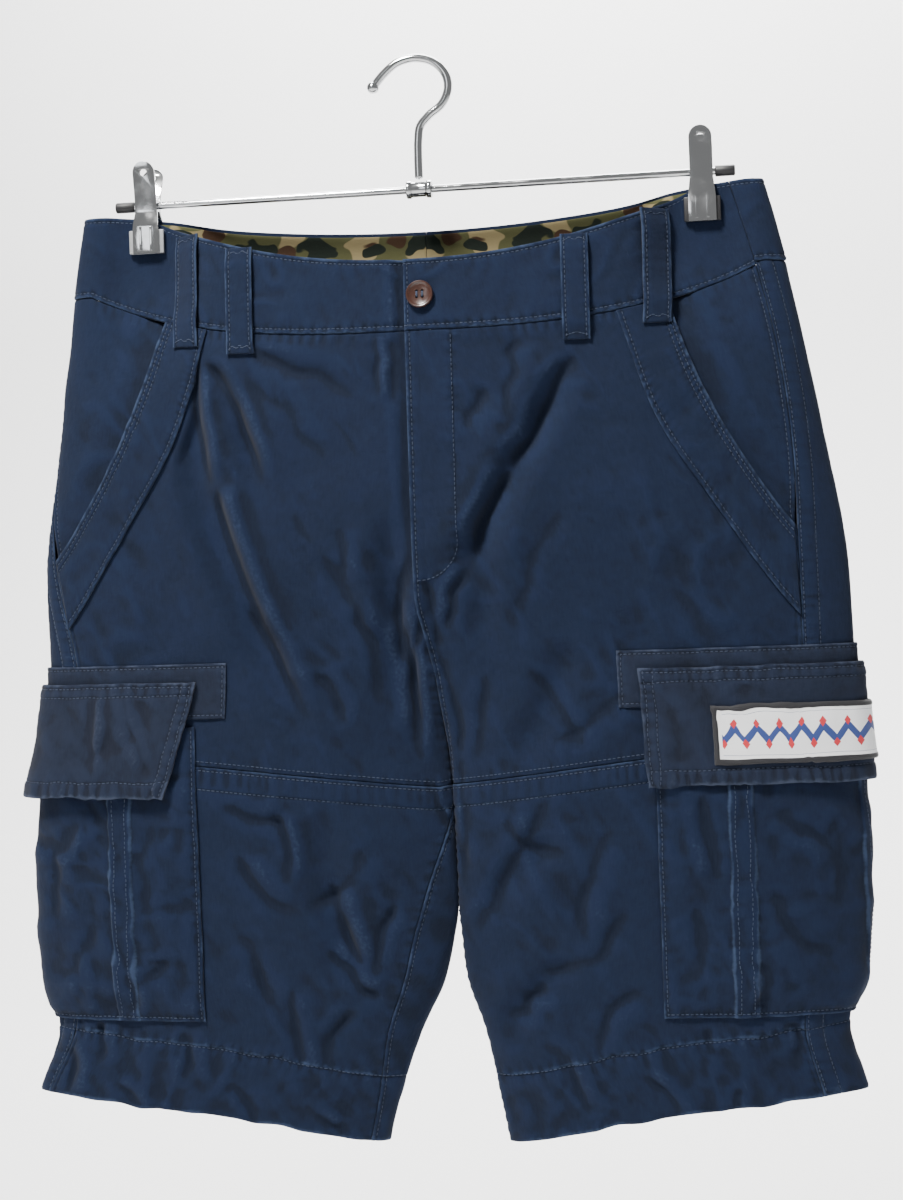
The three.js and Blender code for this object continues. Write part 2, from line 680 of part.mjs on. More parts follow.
// Cargo pocket round the side, slack over a shallow hollow, with two pressed pleats that stand up
const pocketStart = (side, z) => alongAtX(side, POCKET.front[nameOf(side)], z, "front");
function cargoPocket(name, side) {
  const start = pocketStart(side, POCKET.top);
  const edges = POCKET.pleatAt.flatMap((at) => [at - 0.6, at, at + PLEAT_WIDTH, at + PLEAT_WIDTH + 0.6]);
  const plain = shares(start, start - POCKET.width, 17, [0]).filter((u) =>
    edges.every((edge) => Math.abs(u * POCKET.width - edge) > 3),
  );
  const us = [...plain, ...edges.map((edge) => edge / POCKET.width)].sort((a, b) => a - b);
  const inPleat = (at) => POCKET.pleatAt.some((edge) => at >= edge && at <= edge + PLEAT_WIDTH);
  const heights = [POCKET.top, POCKET.secondRow, ...LOWER_ROWS, POCKET.bottom];
  const vs = heights.map((z) => (POCKET.top - z) / (POCKET.top - POCKET.bottom));
  const geometry = wall(us, vs, (u, v) => {
    const slack = POCKET.bulge * Math.sin(Math.PI * u) ** 0.5 * smooth(v / 0.5) * smooth((1 - v) / 0.14);
    const z = lerp(POCKET.top, POCKET.bottom, v);
    const along = pocketStart(side, z) - u * POCKET.width;
    const inner = nest(along) + 1.6 * GAP + slack;
    const outer = inner + CLOTH + (inPleat(u * POCKET.width) ? CLOTH : 0);
    return { side, along, z, outer, inner };
  });
  add(`cargo_pocket_${name}`, geometry, "twill");
}

// Band above the pocket, whose front end shows beside the flap
function flapBand(name, side) {
  const start = pocketStart(side, POCKET_BAND.top) + POCKET_BAND.over;
  const end = pocketStart(side, POCKET.top) - POCKET.width;
  const us = shares(start, end, 20, [0]);
  const geometry = wall(us, even(2), (u, v) => {
    const z = lerp(POCKET_BAND.top, POCKET_BAND.bottom, v);
    const along = lerp(start, end, u);
    const inner = nest(along) + 0.2;
    return { side, along, z, inner, outer: inner + CLOTH };
  });
  add(`flap_band_${name}`, geometry, "flap");
}

// The flap hangs from its top edge and stands off the pocket below, least at its front end
const flapLift = (side, along, v) => {
  const base = 2 * CLOTH + 2 * GAP;
  const off = FLAP.standOff[nameOf(side)] * lerp(0.62, 1, smooth(1 - along / 110));
  return base + Math.max(0, off - base) * v ** 1.15;
};
function flap(name, side) {
  const start = alongAtX(side, FLAP.front[name], FLAP.top, "front");
  const end = pocketStart(side, POCKET.top) - POCKET.width - FLAP.over;
  const slant = FLAP.slant[name];
  const us = shares(start, end, 15, [0, slant / 2]);
  const geometry = wall(us, even(4), (u, v) => {
    const along = lerp(start, end, u) - slant * v;
    const inner = flapLift(side, along, v) + nest(along) - GAP;
    const z = lerp(FLAP.top, FLAP.bottom, v);
    return { side, along, z, inner, outer: inner + FLAP.thick };
  });
  add(`flap_${name}`, geometry, "flap");
}

// Patch on the right flap, round the side fold
function patch() {
  const us = shares(PATCH.from, PATCH.to, 16, [0, 3]);
  const geometry = wall(us, even(3), (u, v) => {
    const z = lerp(PATCH.top, PATCH.bottom, v);
    const along = lerp(PATCH.from, PATCH.to, u);
    const lift = flapLift(1, along, (FLAP.top - z) / (FLAP.top - FLAP.bottom));
    const inner = lift + FLAP.thick + 2 * nest(along);
    return { side: 1, along, z, inner, outer: inner + PATCH.thick };
  });
  add("patch", geometry, "patch");
}

// Belt loop, sewn down at both ends and clear of the band between
function beltLoop({ name, face, x, over }) {
  const front = face === "front";
  const top = (front ? bandTopFront : bandTopBack)(x) - 1;
  const bottom = (front ? bandBottomFront : bandBottomBack)(x) - LOOP.below;
  const geometry = wall(even(3), even(8), (u, v) => {
    const at = x + (u - 0.5) * LOOP.width;
    const side = at < 0 ? -1 : 1;
    const z = lerp(top, bottom, v);
    const clear = smooth(v / 0.16) * smooth((1 - v) / 0.2);
    const inner = BAND_PROUD + 2 * GAP + LOOP.proud * clear + over * smooth((v - 0.6) / 0.2);
    return { side, along: alongAtX(side, Math.abs(at), z, face), z, inner, outer: inner + LOOP.thick };
  });
  add(name, geometry, "twill");
}

// Solids for joining and cutting
function solid(geometry) {
  const plain = geometry.clone();
  for (const key of Object.keys(plain.attributes)) if (key !== "position") plain.deleteAttribute(key);
  const merged = facingOut(mergeVertices(plain, 1e-4));
  const mesh = new wasm.Mesh({
    numProp: 3,
    vertProperties: merged.attributes.position.array,
    triVerts: new Uint32Array(merged.index.array),
  });
  return new wasm.Manifold(mesh);
}
function geometryOf(manifold) {
  const mesh = manifold.getMesh();
  const geometry = new THREE.BufferGeometry();
  geometry.setAttribute("position", new THREE.BufferAttribute(new Float32Array(mesh.vertProperties), 3));
  geometry.setIndex(new THREE.BufferAttribute(new Uint32Array(mesh.triVerts), 1));
  return geometry;
}
// A solid turned from rows of radius and height
const lathed = (rows, sides) =>
  solid(
    new THREE.LatheGeometry(
      rows.map(([r, h]) => new THREE.Vector2(r, h)),
      sides,
    ),
  );
const alongBar = (geometry) => geometry.rotateZ(Math.PI / 2);
const rod = (radius, length, sides) => new THREE.CylinderGeometry(radius, radius, length, sides);

// Four-hole button with a raised rim, square to the waistband where it is sewn
function button() {
  const { radius, thick, rim, dish } = BUTTON;
  const profile = [
    [0, 0],
    [radius - 1.2, 0],
    [radius, 1],
    [radius, thick - 0.8],
    [radius - 0.8, thick],
    [radius - rim, thick],
    [radius - rim - 0.9, thick - dish],
    [0, thick - dish],
  ];
  let body = lathed(profile, 20);
  for (const i of range(4)) {
    const angle = (Math.PI / 2) * (i + 0.5);
    const drill = rod(BUTTON.hole, 3 * thick, 8);
    drill.translate(BUTTON.holeAt * Math.cos(angle), 0, BUTTON.holeAt * Math.sin(angle));
    body = body.subtract(solid(drill));
  }
  const along = alongAtX(1, BUTTON.x, BUTTON.z, "front");
  const normal = outward(1, along, BUTTON.z);
  const mesh = add("button", geometryOf(body), "button");
  mesh.quaternion.setFromUnitVectors(new THREE.Vector3(0, 1, 0), normal);
  mesh.position.copy(skin(1, along, BUTTON.z).addScaledVector(normal, BAND_PROUD + GAP));
}

// Hook and stem in one wire, with a ball on its tip
function hook() {
  const points = HOOK.map((p) => new THREE.Vector3(p.x, 0, p.z));
  const curve = new THREE.CatmullRomCurve3(points, false, "centripetal");
  const circle = new THREE.Shape().absarc(0, 0, HOOK_RADIUS, 0, 2 * Math.PI, false);
  const wire = new THREE.ExtrudeGeometry(circle, { extrudePath: curve, steps: 32, curveSegments: 5 });
  const ball = new THREE.SphereGeometry(HOOK_RADIUS + 1.2, 10, 7).translate(points[0].x, 0, points[0].z);
  add("hanger_hook", geometryOf(solid(wire).add(solid(ball))), "chrome");
}

// Bar, the hub that carries it under the stem, and the caps on its ends
function bar() {
  add("hanger_bar", alongBar(rod(BAR.radius, 2 * BAR.half, 14)).translate(0, 0, BAR.z), "chrome");
  const bore = solid(rod(BAR.radius + GAP, 4 * HUB.half, 14));
  const hub = lathed(
    [
      [0, -HUB.half],
      [HUB.radius - 1, -HUB.half],
      [HUB.radius, 1 - HUB.half],
      [HUB.radius, HUB.half - 1],
      [HUB.radius - 1, HUB.half],
      [0, HUB.half],
    ],
    20,
  ).subtract(bore);
  add("hanger_hub", alongBar(geometryOf(hub)).translate(0, 0, BAR.z), "chrome");
  const cup = lathed(
    [
      [0, BAR.half + GAP],
      [BAR.radius + GAP, BAR.half + GAP],
      [BAR.radius + GAP, BAR.half - CAP.length],
      [CAP.radius, BAR.half - CAP.length],
      [CAP.radius, BAR.half + 1],
      [CAP.radius - 1, BAR.half + 2],
      [0, BAR.half + 2],
    ],
    14,
  );
  for (const [name, side] of Object.entries(SIDES)) {
    const cap = geometryOf(cup).rotateZ((-side * Math.PI) / 2);
    add(`hanger_cap_${name}`, cap.translate(0, 0, BAR.z), "rubber");
  }
}

// A clip plate: its side profile, run across, kept within its front outline. way is -1 in front and 1 behind.
function clipPlate(way, rows) {
  const line = rows.map((p) => new THREE.Vector2(way * p.y, p.z));
  const back = rows.map((p) => new THREE.Vector2(way * (p.y + CLIP.plate), p.z)).reverse();
  const profile = new THREE.ExtrudeGeometry(new THREE.Shape([...line, ...back]), {
    depth: 2 * CLIP.width,
    bevelEnabled: false,
  });
  profile.translate(0, 0, -CLIP.width);
  const toYZ = new THREE.Matrix4().makeBasis(Y_AXIS, Z_AXIS, X_AXIS);
  const { top, bottom, narrow, width, hole } = CLIP;
  const shape = new THREE.Shape();
  shape.moveTo(-width / 2, bottom);
  shape.lineTo(width / 2, bottom);
  shape.lineTo(width / 2, CLIP.jaw);
  shape.lineTo(narrow / 2, CLIP.jaw + 14);
  shape.lineTo(narrow / 2, top - narrow / 2);
  shape.absarc(0, top - narrow / 2, narrow / 2, 0, Math.PI, false);
  shape.lineTo(-narrow / 2, CLIP.jaw + 14);
  shape.lineTo(-width / 2, CLIP.jaw);
  const eye = new THREE.Path().absarc(0, top - narrow / 2, hole, 0, 2 * Math.PI, true);
  shape.holes.push(eye);
  const outline = new THREE.ExtrudeGeometry(shape, { depth: 120, bevelEnabled: false, curveSegments: 8 });
  outline.translate(0, 0, -60);
  const toXZ = new THREE.Matrix4().makeBasis(X_AXIS, Z_AXIS, Y_AXIS.clone().negate());
  return solid(profile.applyMatrix4(toYZ)).intersect(solid(outline.applyMatrix4(toXZ)));
}

// Each clip: two plates round the bar, the front one with ears that the bar runs through, and two pads
function clip(name, side) {
  const x = side * CLIP_X;
  const bore = solid(alongBar(rod(BAR.radius + GAP, 80, 14)).translate(0, 0, BAR.z));
  let front = clipPlate(-1, FRONT_PLATE);
  for (const way of [-1, 1]) {
    const ear = new THREE.BoxGeometry(CLIP.plate, CLIP.ear, CLIP.ear);
    ear.translate(way * (CLIP.narrow / 2 - CLIP.plate / 2 - 0.05), -0.2, BAR.z);
    front = front.add(solid(ear));
    const rib = new THREE.BoxGeometry(CLIP.rib, CLIP.plate, 16);
    rib.translate(way * 3.6, -FRONT_PLATE.at(-1).y - CLIP.plate / 2 - 0.7, CLIP.bottom + 10);
    front = front.add(solid(rib));
  }
  front = front.subtract(bore);
  add(`clip_front_${name}`, geometryOf(front).translate(x, 0, 0), "chrome");
  const rear = clipPlate(1, REAR_PLATE).subtract(bore);
  add(`clip_back_${name}`, geometryOf(rear).translate(x, 0, 0), "chrome");
  for (const [face, way] of [
    ["front", -1],
    ["back", 1],
  ]) {
    const inside = Math.abs(PRESSED[face]) + BAND_PROUD + 3 * GAP;
    const pad = new THREE.BoxGeometry(CLIP.padWidth, CLIP.pad, CLIP.jaw - CLIP.bottom);
    pad.translate(x, way * (inside + CLIP.pad / 2), (CLIP.jaw + CLIP.bottom) / 2);
    add(`clip_pad_${face}_${name}`, pad, "rubber");
  }
}

for (const [name, side] of Object.entries(SIDES)) {
  frontUpper(name, side);
  frontLower(name, side);
  back(name, side);
  waistband(name, side);
  facing(name, side);
  hipPanel(name, side);
  pocketTrim(name, side);
  cargoPocket(name, side);
  flapBand(name, side);
  flap(name, side);
  clip(name, side);
}
patch();
LOOPS.forEach(beltLoop);
button();
hook();
bar();

export default group;
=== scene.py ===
"""Navy cargo shorts on a clip hanger: cloth shells, stitching, materials, light and camera."""

import math
from collections import namedtuple
from types import SimpleNamespace

import bmesh
import bpy
import numpy as np
from mathutils import Matrix, Vector


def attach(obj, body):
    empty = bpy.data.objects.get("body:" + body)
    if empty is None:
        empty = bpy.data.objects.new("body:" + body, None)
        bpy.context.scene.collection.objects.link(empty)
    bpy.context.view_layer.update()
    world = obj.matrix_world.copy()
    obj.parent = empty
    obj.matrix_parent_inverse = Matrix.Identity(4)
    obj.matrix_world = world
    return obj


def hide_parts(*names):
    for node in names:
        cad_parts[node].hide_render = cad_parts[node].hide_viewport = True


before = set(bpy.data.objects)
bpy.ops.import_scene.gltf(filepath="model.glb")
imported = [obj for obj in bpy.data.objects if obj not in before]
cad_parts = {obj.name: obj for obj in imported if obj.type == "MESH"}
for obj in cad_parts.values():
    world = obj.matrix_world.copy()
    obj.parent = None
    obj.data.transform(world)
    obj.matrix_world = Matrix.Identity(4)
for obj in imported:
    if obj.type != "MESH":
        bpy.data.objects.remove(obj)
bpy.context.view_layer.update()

# The cloth is worked out in millimetres, in the part's frame, and the meshes are in metres
MM = 0.001
SIDES = {"left": -1, "right": 1}

# Driving sizes of the cloth
CLOTH, DOUBLE = 1.2, 2.2
GAP = 0.3
BAND_PROUD = 0.6
CLIP_X = 187
WAIST_HALF = 226
HEM_DEPTH = 46
TUCK = 1.4

# Sections of the hanging cloth, a row for each level
LEVEL_KEYS = ("z", "half_l", "half_r", "front", "back", "split", "lean", "gap", "seam_l", "seam_r",
              "inseam_l")
LEVELS = np.array([
    [-80, 229, 223.5, 28, 25, 0, 0, 0.7, -8, 27, 0],
    [-140, 239, 238, 32, 27, 0, 0, 0.7, -7, 25, 0],
    [-200, 248, 250, 36, 30, 0, 0, 0.7, -5, 24, 0],
    [-265, 257, 261.5, 37, 32, 0, 0, 0.7, 1, 28, 0],
    [-330, 266.5, 272, 36, 35, 0.02, 1, 0.7, 14, 37, 0],
    [-400, 266.5, 275, 33, 34, 0.38, 4, 0.7, 30, 40, 0],
    [-455, 270, 275, 31, 32, 0.85, 8, 0.8, 33, 41, 0],
    [-487, 273, 275.5, 30, 31, 1, 9, 0.9, 33, 41, 0],
    [-560, 274, 273, 28, 29, 1, 10, 1.4, 32, 39, 28],
    [-610, 272, 269.5, 27, 28, 1, 7, 14, 28, 37, 32],
    [-645, 269.5, 264.5, 26, 27, 1, 4, 42, 20, 36, 27],
    [-690, 285, 275.5, 26, 26, 1, 0, 68, 14, 36, 18],
    [-730, 290, 278, 25, 25, 1, -2, 86, 14, 36, 16],
])


def grouped(kind, groups):
    """Rows of a table, in groups that share their first column."""
    return [kind(first, *row) for first, rows in groups for row in rows]


# Large folds, as lines through three points seen from the front, with their half width and depth
Fold = namedtuple("Fold", "face x1 z1 x2 z2 x3 z3 width depth")
FOLDS = grouped(Fold, [
    ("front", [
        (-150, -190, -146, -300, -74, -457, 13, 7),
        (-149, -195, -124, -230, -106, -300, 11, 4),
        (104, -197, 55, -282, 12, -358, 13, 7),
        (41, -305, 38, -347, 34, -400, 12, 4),
        (-20, -290, -24, -370, -20, -448, 12, 6),
        (92, -385, 76, -430, 50, -475, 14, 4),
        (-78, -490, -72, -560, -54, -612, 15, 5),
        (84, -510, 52, -540, 30, -562, 13, 4),
        (88, -592, 62, -618, 32, -648, 13, 4),
    ]),
    ("back", [
        (-120, -180, -92, -290, -46, -400, 15, 6),
        (124, -176, 104, -300, 50, -420, 15, 6),
        (60, -250, 74, -360, 120, -450, 15, 4),
        (-60, -470, -104, -540, -128, -640, 16, 5),
        (56, -480, 96, -560, 104, -650, 16, 5),
    ]),
])

# Creases that the photo shows on the front, and ones like them behind. skew puts a ridge on one side of the
# trough, positive to the left of the line's direction.
Crease = namedtuple("Crease", "place x1 z1 x2 z2 x3 z3 width depth skew")
CREASES = grouped(Crease, [
    ("front", [
        (-145, -190, -149, -235, -139, -283, 5, 2.4, 0.8),
        (-140, -276, -124, -332, -92, -412, 6, 2.4, 0.8),
        (-146, -192, -122, -232, -104, -282, 5, 2.0, 0.7),
        (-114, -189, -78, -205, -40, -229, 9, 1.5, 0.4),
        (-118, -212, -86, -236, -62, -272, 8, 1.1, 0.4),
        (-29, -184, -26, -203, -28, -228, 4, 1.2, 0.5),
        (-16, -184, -17, -206, -15, -236, 4, 1.4, -0.5),
        (106, -200, 80, -240, 58, -281, 6, 2.8, -0.8),
        (60, -276, 43, -302, 29, -344, 6, 2.6, -0.8),
        (31, -338, 18, -358, 11, -382, 5, 2.0, -0.6),
        (65, -190, 61, -216, 57, -246, 7, 1.4, 0.5),
        (42, -219, 36, -236, 26, -248, 8, 1.5, 0.3),
        (-13, -328, -19, -371, -21, -410, 6, 3.0, 0.5),
        (-15, -368, -13, -412, -10, -458, 6, 3.2, -0.5),
        (-4, -344, 6, -371, 4, -396, 5, 2.4, -0.6),
        (4, -388, 15, -430, 17, -466, 5, 2.4, -0.6),
        (17, -460, 16, -500, 17, -558, 6, 1.4, -0.5),
        (-4, -370, -12, -420, -8, -472, 5, 2.2, 0.5),
        (-6, -474, 9, -513, 22, -540, 5, 1.6, 0.5),
        (-55, -308, -54, -328, -57, -348, 5, 1.2, 0.5),
        (-122, -356, -102, -396, -78, -440, 7, 2.0, 0.6),
        (-78, -402, -66, -420, -55, -440, 6, 1.6, 0.6),
        (-50, -358, -38, -392, -34, -430, 7, 1.4, 0.5),
        (-88, -292, -64, -336, -44, -366, 9, 1.2, 0.4),
        (92, -300, 70, -338, 60, -380, 9, 1.2, -0.4),
        (126, -420, 106, -442, 74, -458, 8, 1.3, 0.5),
        (62, -404, 84, -430, 98, -462, 6, 1.2, 0.4),
        (38, -404, 34, -436, 24, -468, 6, 1.6, -0.6),
        (-72, -540, -62, -575, -48, -606, 6, 2.2, 0.7),
        (-77, -586, -60, -605, -42, -624, 5, 1.7, 0.6),
        (-97, -606, -100, -640, -96, -672, 6, 1.4, 0.5),
        (-132, -520, -118, -548, -86, -566, 7, 1.3, 0.5),
        (-138, -574, -122, -600, -120, -640, 7, 1.3, -0.5),
        (-46, -520, -62, -548, -92, -560, 7, 1.2, 0.4),
        (-28, -556, -40, -580, -44, -612, 5, 1.4, 0.5),
        (-146, -488, -120, -500, -94, -498, 6, 1.2, 0.4),
        (82, -484, 45, -542, 23, -580, 7, 2.2, -0.7),
        (70, -610, 57, -625, 44, -640, 6, 1.5, 0.5),
        (118, -508, 98, -548, 94, -590, 8, 1.3, 0.5),
        (124, -560, 100, -596, 60, -604, 8, 1.2, -0.4),
        (134, -614, 110, -634, 104, -664, 6, 1.3, 0.5),
        (46, -500, 60, -520, 92, -528, 7, 1.2, 0.4),
        (-238, -634, -233, -648, -240, -668, 5, 1.5, 0.5),
        (224, -636, 230, -650, 226, -672, 6, 1.3, 0.5),
        (-176, -640, -172, -656, -178, -676, 6, 1.2, 0.5),
        (176, -640, 170, -656, 174, -676, 6, 1.1, 0.5),
    ]),
    ("back", [
        (-118, -176, -108, -236, -84, -300, 6, 2.2, 0.7),
        (-86, -290, -64, -350, -34, -400, 6, 2.2, 0.7),
        (122, -174, 116, -240, 98, -310, 6, 2.4, -0.7),
        (100, -300, 80, -366, 42, -424, 6, 2.2, -0.7),
        (-60, -196, -40, -236, -34, -280, 9, 1.4, 0.4),
        (34, -190, 50, -226, 52, -270, 9, 1.4, 0.4),
        (-22, -330, -12, -380, -14, -440, 6, 2.6, 0.5),
        (24, -326, 16, -376, 20, -440, 6, 2.6, -0.5),
        (150, -230, 142, -290, 116, -350, 8, 1.5, 0.5),
        (-160, -250, -146, -310, -118, -368, 8, 1.5, -0.5),
        (64, -256, 80, -330, 118, -400, 7, 1.6, 0.5),
        (-64, -476, -98, -540, -124, -630, 7, 2.0, -0.6),
        (58, -484, 92, -552, 102, -640, 7, 2.0, 0.6),
        (-34, -520, -60, -570, -66, -640, 7, 1.5, 0.5),
        (32, -516, 44, -560, 80, -600, 7, 1.4, -0.5),
        (-40, -420, -84, -450, -130, -456, 8, 1.4, 0.5),
        (48, -430, 96, -446, 140, -440, 8, 1.4, -0.5),
    ]),
    ("pocket_left", [
        (40, -498, 22, -516, 4, -506, 6, 1.6, 0.6),
        (22, -512, 20, -540, 18, -572, 6, 1.4, 0.5),
        (94, -500, 84, -530, 92, -566, 7, 1.2, 0.5),
        (66, -600, 72, -616, 66, -632, 4, 1.3, 0.6),
        (110, -548, 122, -566, 118, -590, 5, 1.2, 0.5),
        (100, -590, 84, -604, 60, -612, 6, 1.1, 0.4),
        (50, -560, 34, -590, 10, -600, 7, 1.2, 0.5),
        (-20, -500, -36, -540, -30, -590, 7, 1.2, 0.5),
    ]),
    ("pocket_right", [
        (60, -500, 46, -514, 22, -528, 6, 1.6, 0.6),
        (112, -486, 104, -514, 98, -550, 6, 1.5, 0.5),
        (74, -596, 66, -612, 72, -630, 4, 1.3, 0.6),
        (28, -504, 24, -534, 26, -568, 7, 1.3, 0.5),
        (116, -560, 108, -584, 112, -616, 6, 1.1, 0.4),
        (62, -548, 50, -580, 20, -596, 7, 1.2, 0.5),
        (-14, -510, -30, -550, -24, -604, 7, 1.2, 0.5),
    ]),
    ("front", [
        (-262, -648, -256, -668, -262, -692, 5, 1.6, 0.6),
        (-226, -676, -206, -690, -188, -712, 4, 1.2, 0.5),
        (-150, -676, -134, -688, -128, -708, 4, 1.2, -0.5),
        (-96, -690, -84, -702, -64, -712, 4, 1.1, 0.5),
        (64, -650, 84, -672, 92, -702, 5, 1.3, 0.6),
        (128, -672, 146, -684, 156, -706, 4, 1.2, 0.5),
        (196, -678, 190, -694, 202, -710, 4, 1.2, -0.5),
        (-110, -496, -98, -520, -104, -548, 4, 1.3, 0.5),
        (-56, -626, -78, -650, -70, -676, 5, 1.5, -0.6),
    ]),
    ("flap_left", [
        (46, -411, 47, -440, 50, -480, 4, 1.5, 0.8),
        (84, -440, 60, -452, 30, -448, 8, 0.9, 0.4),
        (20, -424, 6, -446, 8, -472, 8, 0.8, 0.4),
        (-20, -430, -34, -450, -30, -474, 8, 0.8, 0.4),
    ]),
    ("flap_right", [
        (128, -430, 122, -450, 126, -474, 7, 0.8, 0.4),
        (-34, -424, -30, -446, -38, -470, 8, 0.8, 0.4),
    ]),
])

# Where the large folds start again ahead of a cargo pocket, by length from the side fold
FADE_AHEAD = {"left": 142, "right": 155}

# Front pocket openings and the trims' far edges, by distance from the middle
OPENING = [(163, -150), (182, -208), (205.5, -258), (243, -315), (276, -351)]
TRIM = [(128, -150), (140, -190), (160, -248), (191, -298), (236, -364), (272, -405)]
EDGE_SHIFT = 6
FLY_OVER, FLY_UNDER, FLY_BOTTOM, FLY_TAPER, FLY_BLEND = 8, 6, -352, 62, 10
# The fly's stitching: where it starts to curve, that curve's radius and how near the fly's edge it ends
J_TURN, J_RADIUS, J_NEAR = -320, 26, 4
HEM_STITCH = 44.5
PINCH_HALF, PINCH_ACROSS, PINCH_BOTTOM, PINCH_DOWN = 13.5, 23, -124, 55
PRESSED_FRONT, PRESSED_BACK = -2.4, 3.6

POCKET_FRONT = {"left": 159, "right": 145}
POCKET_WIDTH, POCKET_TOP, POCKET_BOTTOM, POCKET_BULGE = 176, -438, -634, 4.2
PLEAT_AT, PLEAT_WIDTH = (46, 130), 15
BAND_TOP, BAND_BOTTOM, BAND_OVER = -396, -433, 23
FLAP_FRONT = {"left": 156.5, "right": 135.5}
FLAP_OVER, FLAP_TOP, FLAP_BOTTOM, FLAP_THICK = 3, -408, -484, 1.8
FLAP_OFF = {"left": 13, "right": 8.5}
FLAP_SLANT = {"left": 15, "right": 3.5}
PATCH_FROM, PATCH_TO, PATCH_TOP, PATCH_BOTTOM, PATCH_THICK = 101, -24, -433, -471, 1.5
PATCH_ACROSS, PATCH_DOWN, PATCH_BORDER, PATCH_FIELD = 118, 38, 3.4, 5.5
BUTTON_X, BUTTON_Z = 3, -160
HOLE_AWAY, HOLE_RADIUS, HOLE_DEPTH = 2.6, 1.0, 12
BEVELS = {"chrome": 0.35, "rubber": 0.7}
HIP_UNDER, TRIM_WIDE, TRIM_LONG = 12, 34.0, 300.0
FACING_END, FACING_THICK = -6, 1
LOOP_HALF, LOOP_THICK, LOOP_STAND = 9, 1.4, 1.6


def lerp(a, b, t):
    return a + (b - a) * t


def smooth(t):
    t = np.clip(t, 0, 1)
    return t * t * (3 - 2 * t)


def bell(q):
    return np.exp(-np.square(q))


def side_name(side):
    return "left" if side < 0 else "right"


def noise(x, z, cell, seed):
    """Smooth noise from -1 to 1 over cells of that size."""
    values = np.random.default_rng(seed).random((64, 64)) * 2 - 1
    p, q = np.broadcast_arrays(np.asarray(x) / cell, np.asarray(z) / cell)
    i, j = np.floor(p).astype(int), np.floor(q).astype(int)
    f, g = smooth(p - i), smooth(q - j)
    i0, i1, j0, j1 = i % 64, (i + 1) % 64, j % 64, (j + 1) % 64
    return lerp(lerp(values[i0, j0], values[i1, j0], f), lerp(values[i0, j1], values[i1, j1], f), g)


def crumple(x, z, cell, seed):
    """Narrow ridges and valleys that wander and meet, more in some places, as in cotton long folded."""
    u = x + 0.5 * cell * noise(x, z, 1.6 * cell, seed + 1)
    w = z + 0.5 * cell * noise(x, z, 1.6 * cell, seed + 2)
    ridge = 0.4 - np.sqrt(np.square(noise(u, w, cell, seed)) + 0.003)
    valley = np.sqrt(np.square(noise(u, w, 1.25 * cell, seed + 3)) + 0.003) - 0.4
    some = smooth(0.55 + 0.9 * noise(x, z, 2.6 * cell, seed + 4))
    return lerp(valley, ridge, some) * (0.45 + 0.55 * some)


# Sections tabled by side, every millimetre down and by share of the way round
Z_TOP, Z_COUNT, T_COUNT = -60.0, 700, 241
Z_ROWS = Z_TOP - np.arange(Z_COUNT)


def level_rows(z):
    """The level table at any heights, through its rows by a cubic."""
    last = len(LEVELS) - 1
    i = np.clip((LEVELS[None, :, 0] > z[:, None]).sum(axis=1) - 1, 0, last - 1)
    p0, p1, p2, p3 = (LEVELS[np.clip(i + k, 0, last)] for k in (-1, 0, 1, 2))
    step = (p2 - p1)[:, :1]
    t = np.clip((z[:, None] - p1[:, :1]) / step, 0, 1)
    slope1 = (p2 - p0) / (p2 - p0)[:, :1] * step
    slope2 = (p3 - p1) / (p3 - p1)[:, :1] * step
    d = p2 - p1
    rows = p1 + t * (slope1 + t * (3 * d - 2 * slope1 - slope2 + t * (slope1 + slope2 - 2 * d)))
    out = dict(zip(LEVEL_KEYS, rows.T))
    out["split"] = np.clip(out["split"], 0, 1)
    out["gap"] = np.maximum(out["gap"], LEVELS[0, 7])
    return out


ROW = level_rows(Z_ROWS)
HALF = np.stack([ROW["half_l"], ROW["half_r"]])
OUTSEAM = np.stack([ROW["seam_l"], ROW["seam_r"]])
INSEAM = np.stack([np.maximum(0, ROW["inseam_l"]), np.zeros(Z_COUNT)])


def both(name):
    return np.stack([ROW[name]] * 2)


FRONT, BACK, SPLIT, LEAN, SPACE = (both(k) for k in ("front", "back", "split", "lean", "gap"))
# The legs touch down to where they part, so no light comes between them there
SPACE = SPACE - (0.6 + SPACE) * smooth((Z_ROWS + 585) / 30)


def section(side, angle, half, front, back, split, lean, space):
    """One side's section, by an angle that is 0 at its front inner end, 90 degrees at the side fold and
    180 at its back inner end."""
    depth = np.where(angle < math.pi / 2, front, back)
    inner = space / 2 + side * lean
    reach = (half - inner) / 2
    x = lerp(half * np.sin(angle), inner + reach - reach * np.cos(2 * angle), split)
    y = lerp(-depth * np.cos(angle), -depth * np.sin(2 * angle), split)
    return x, y


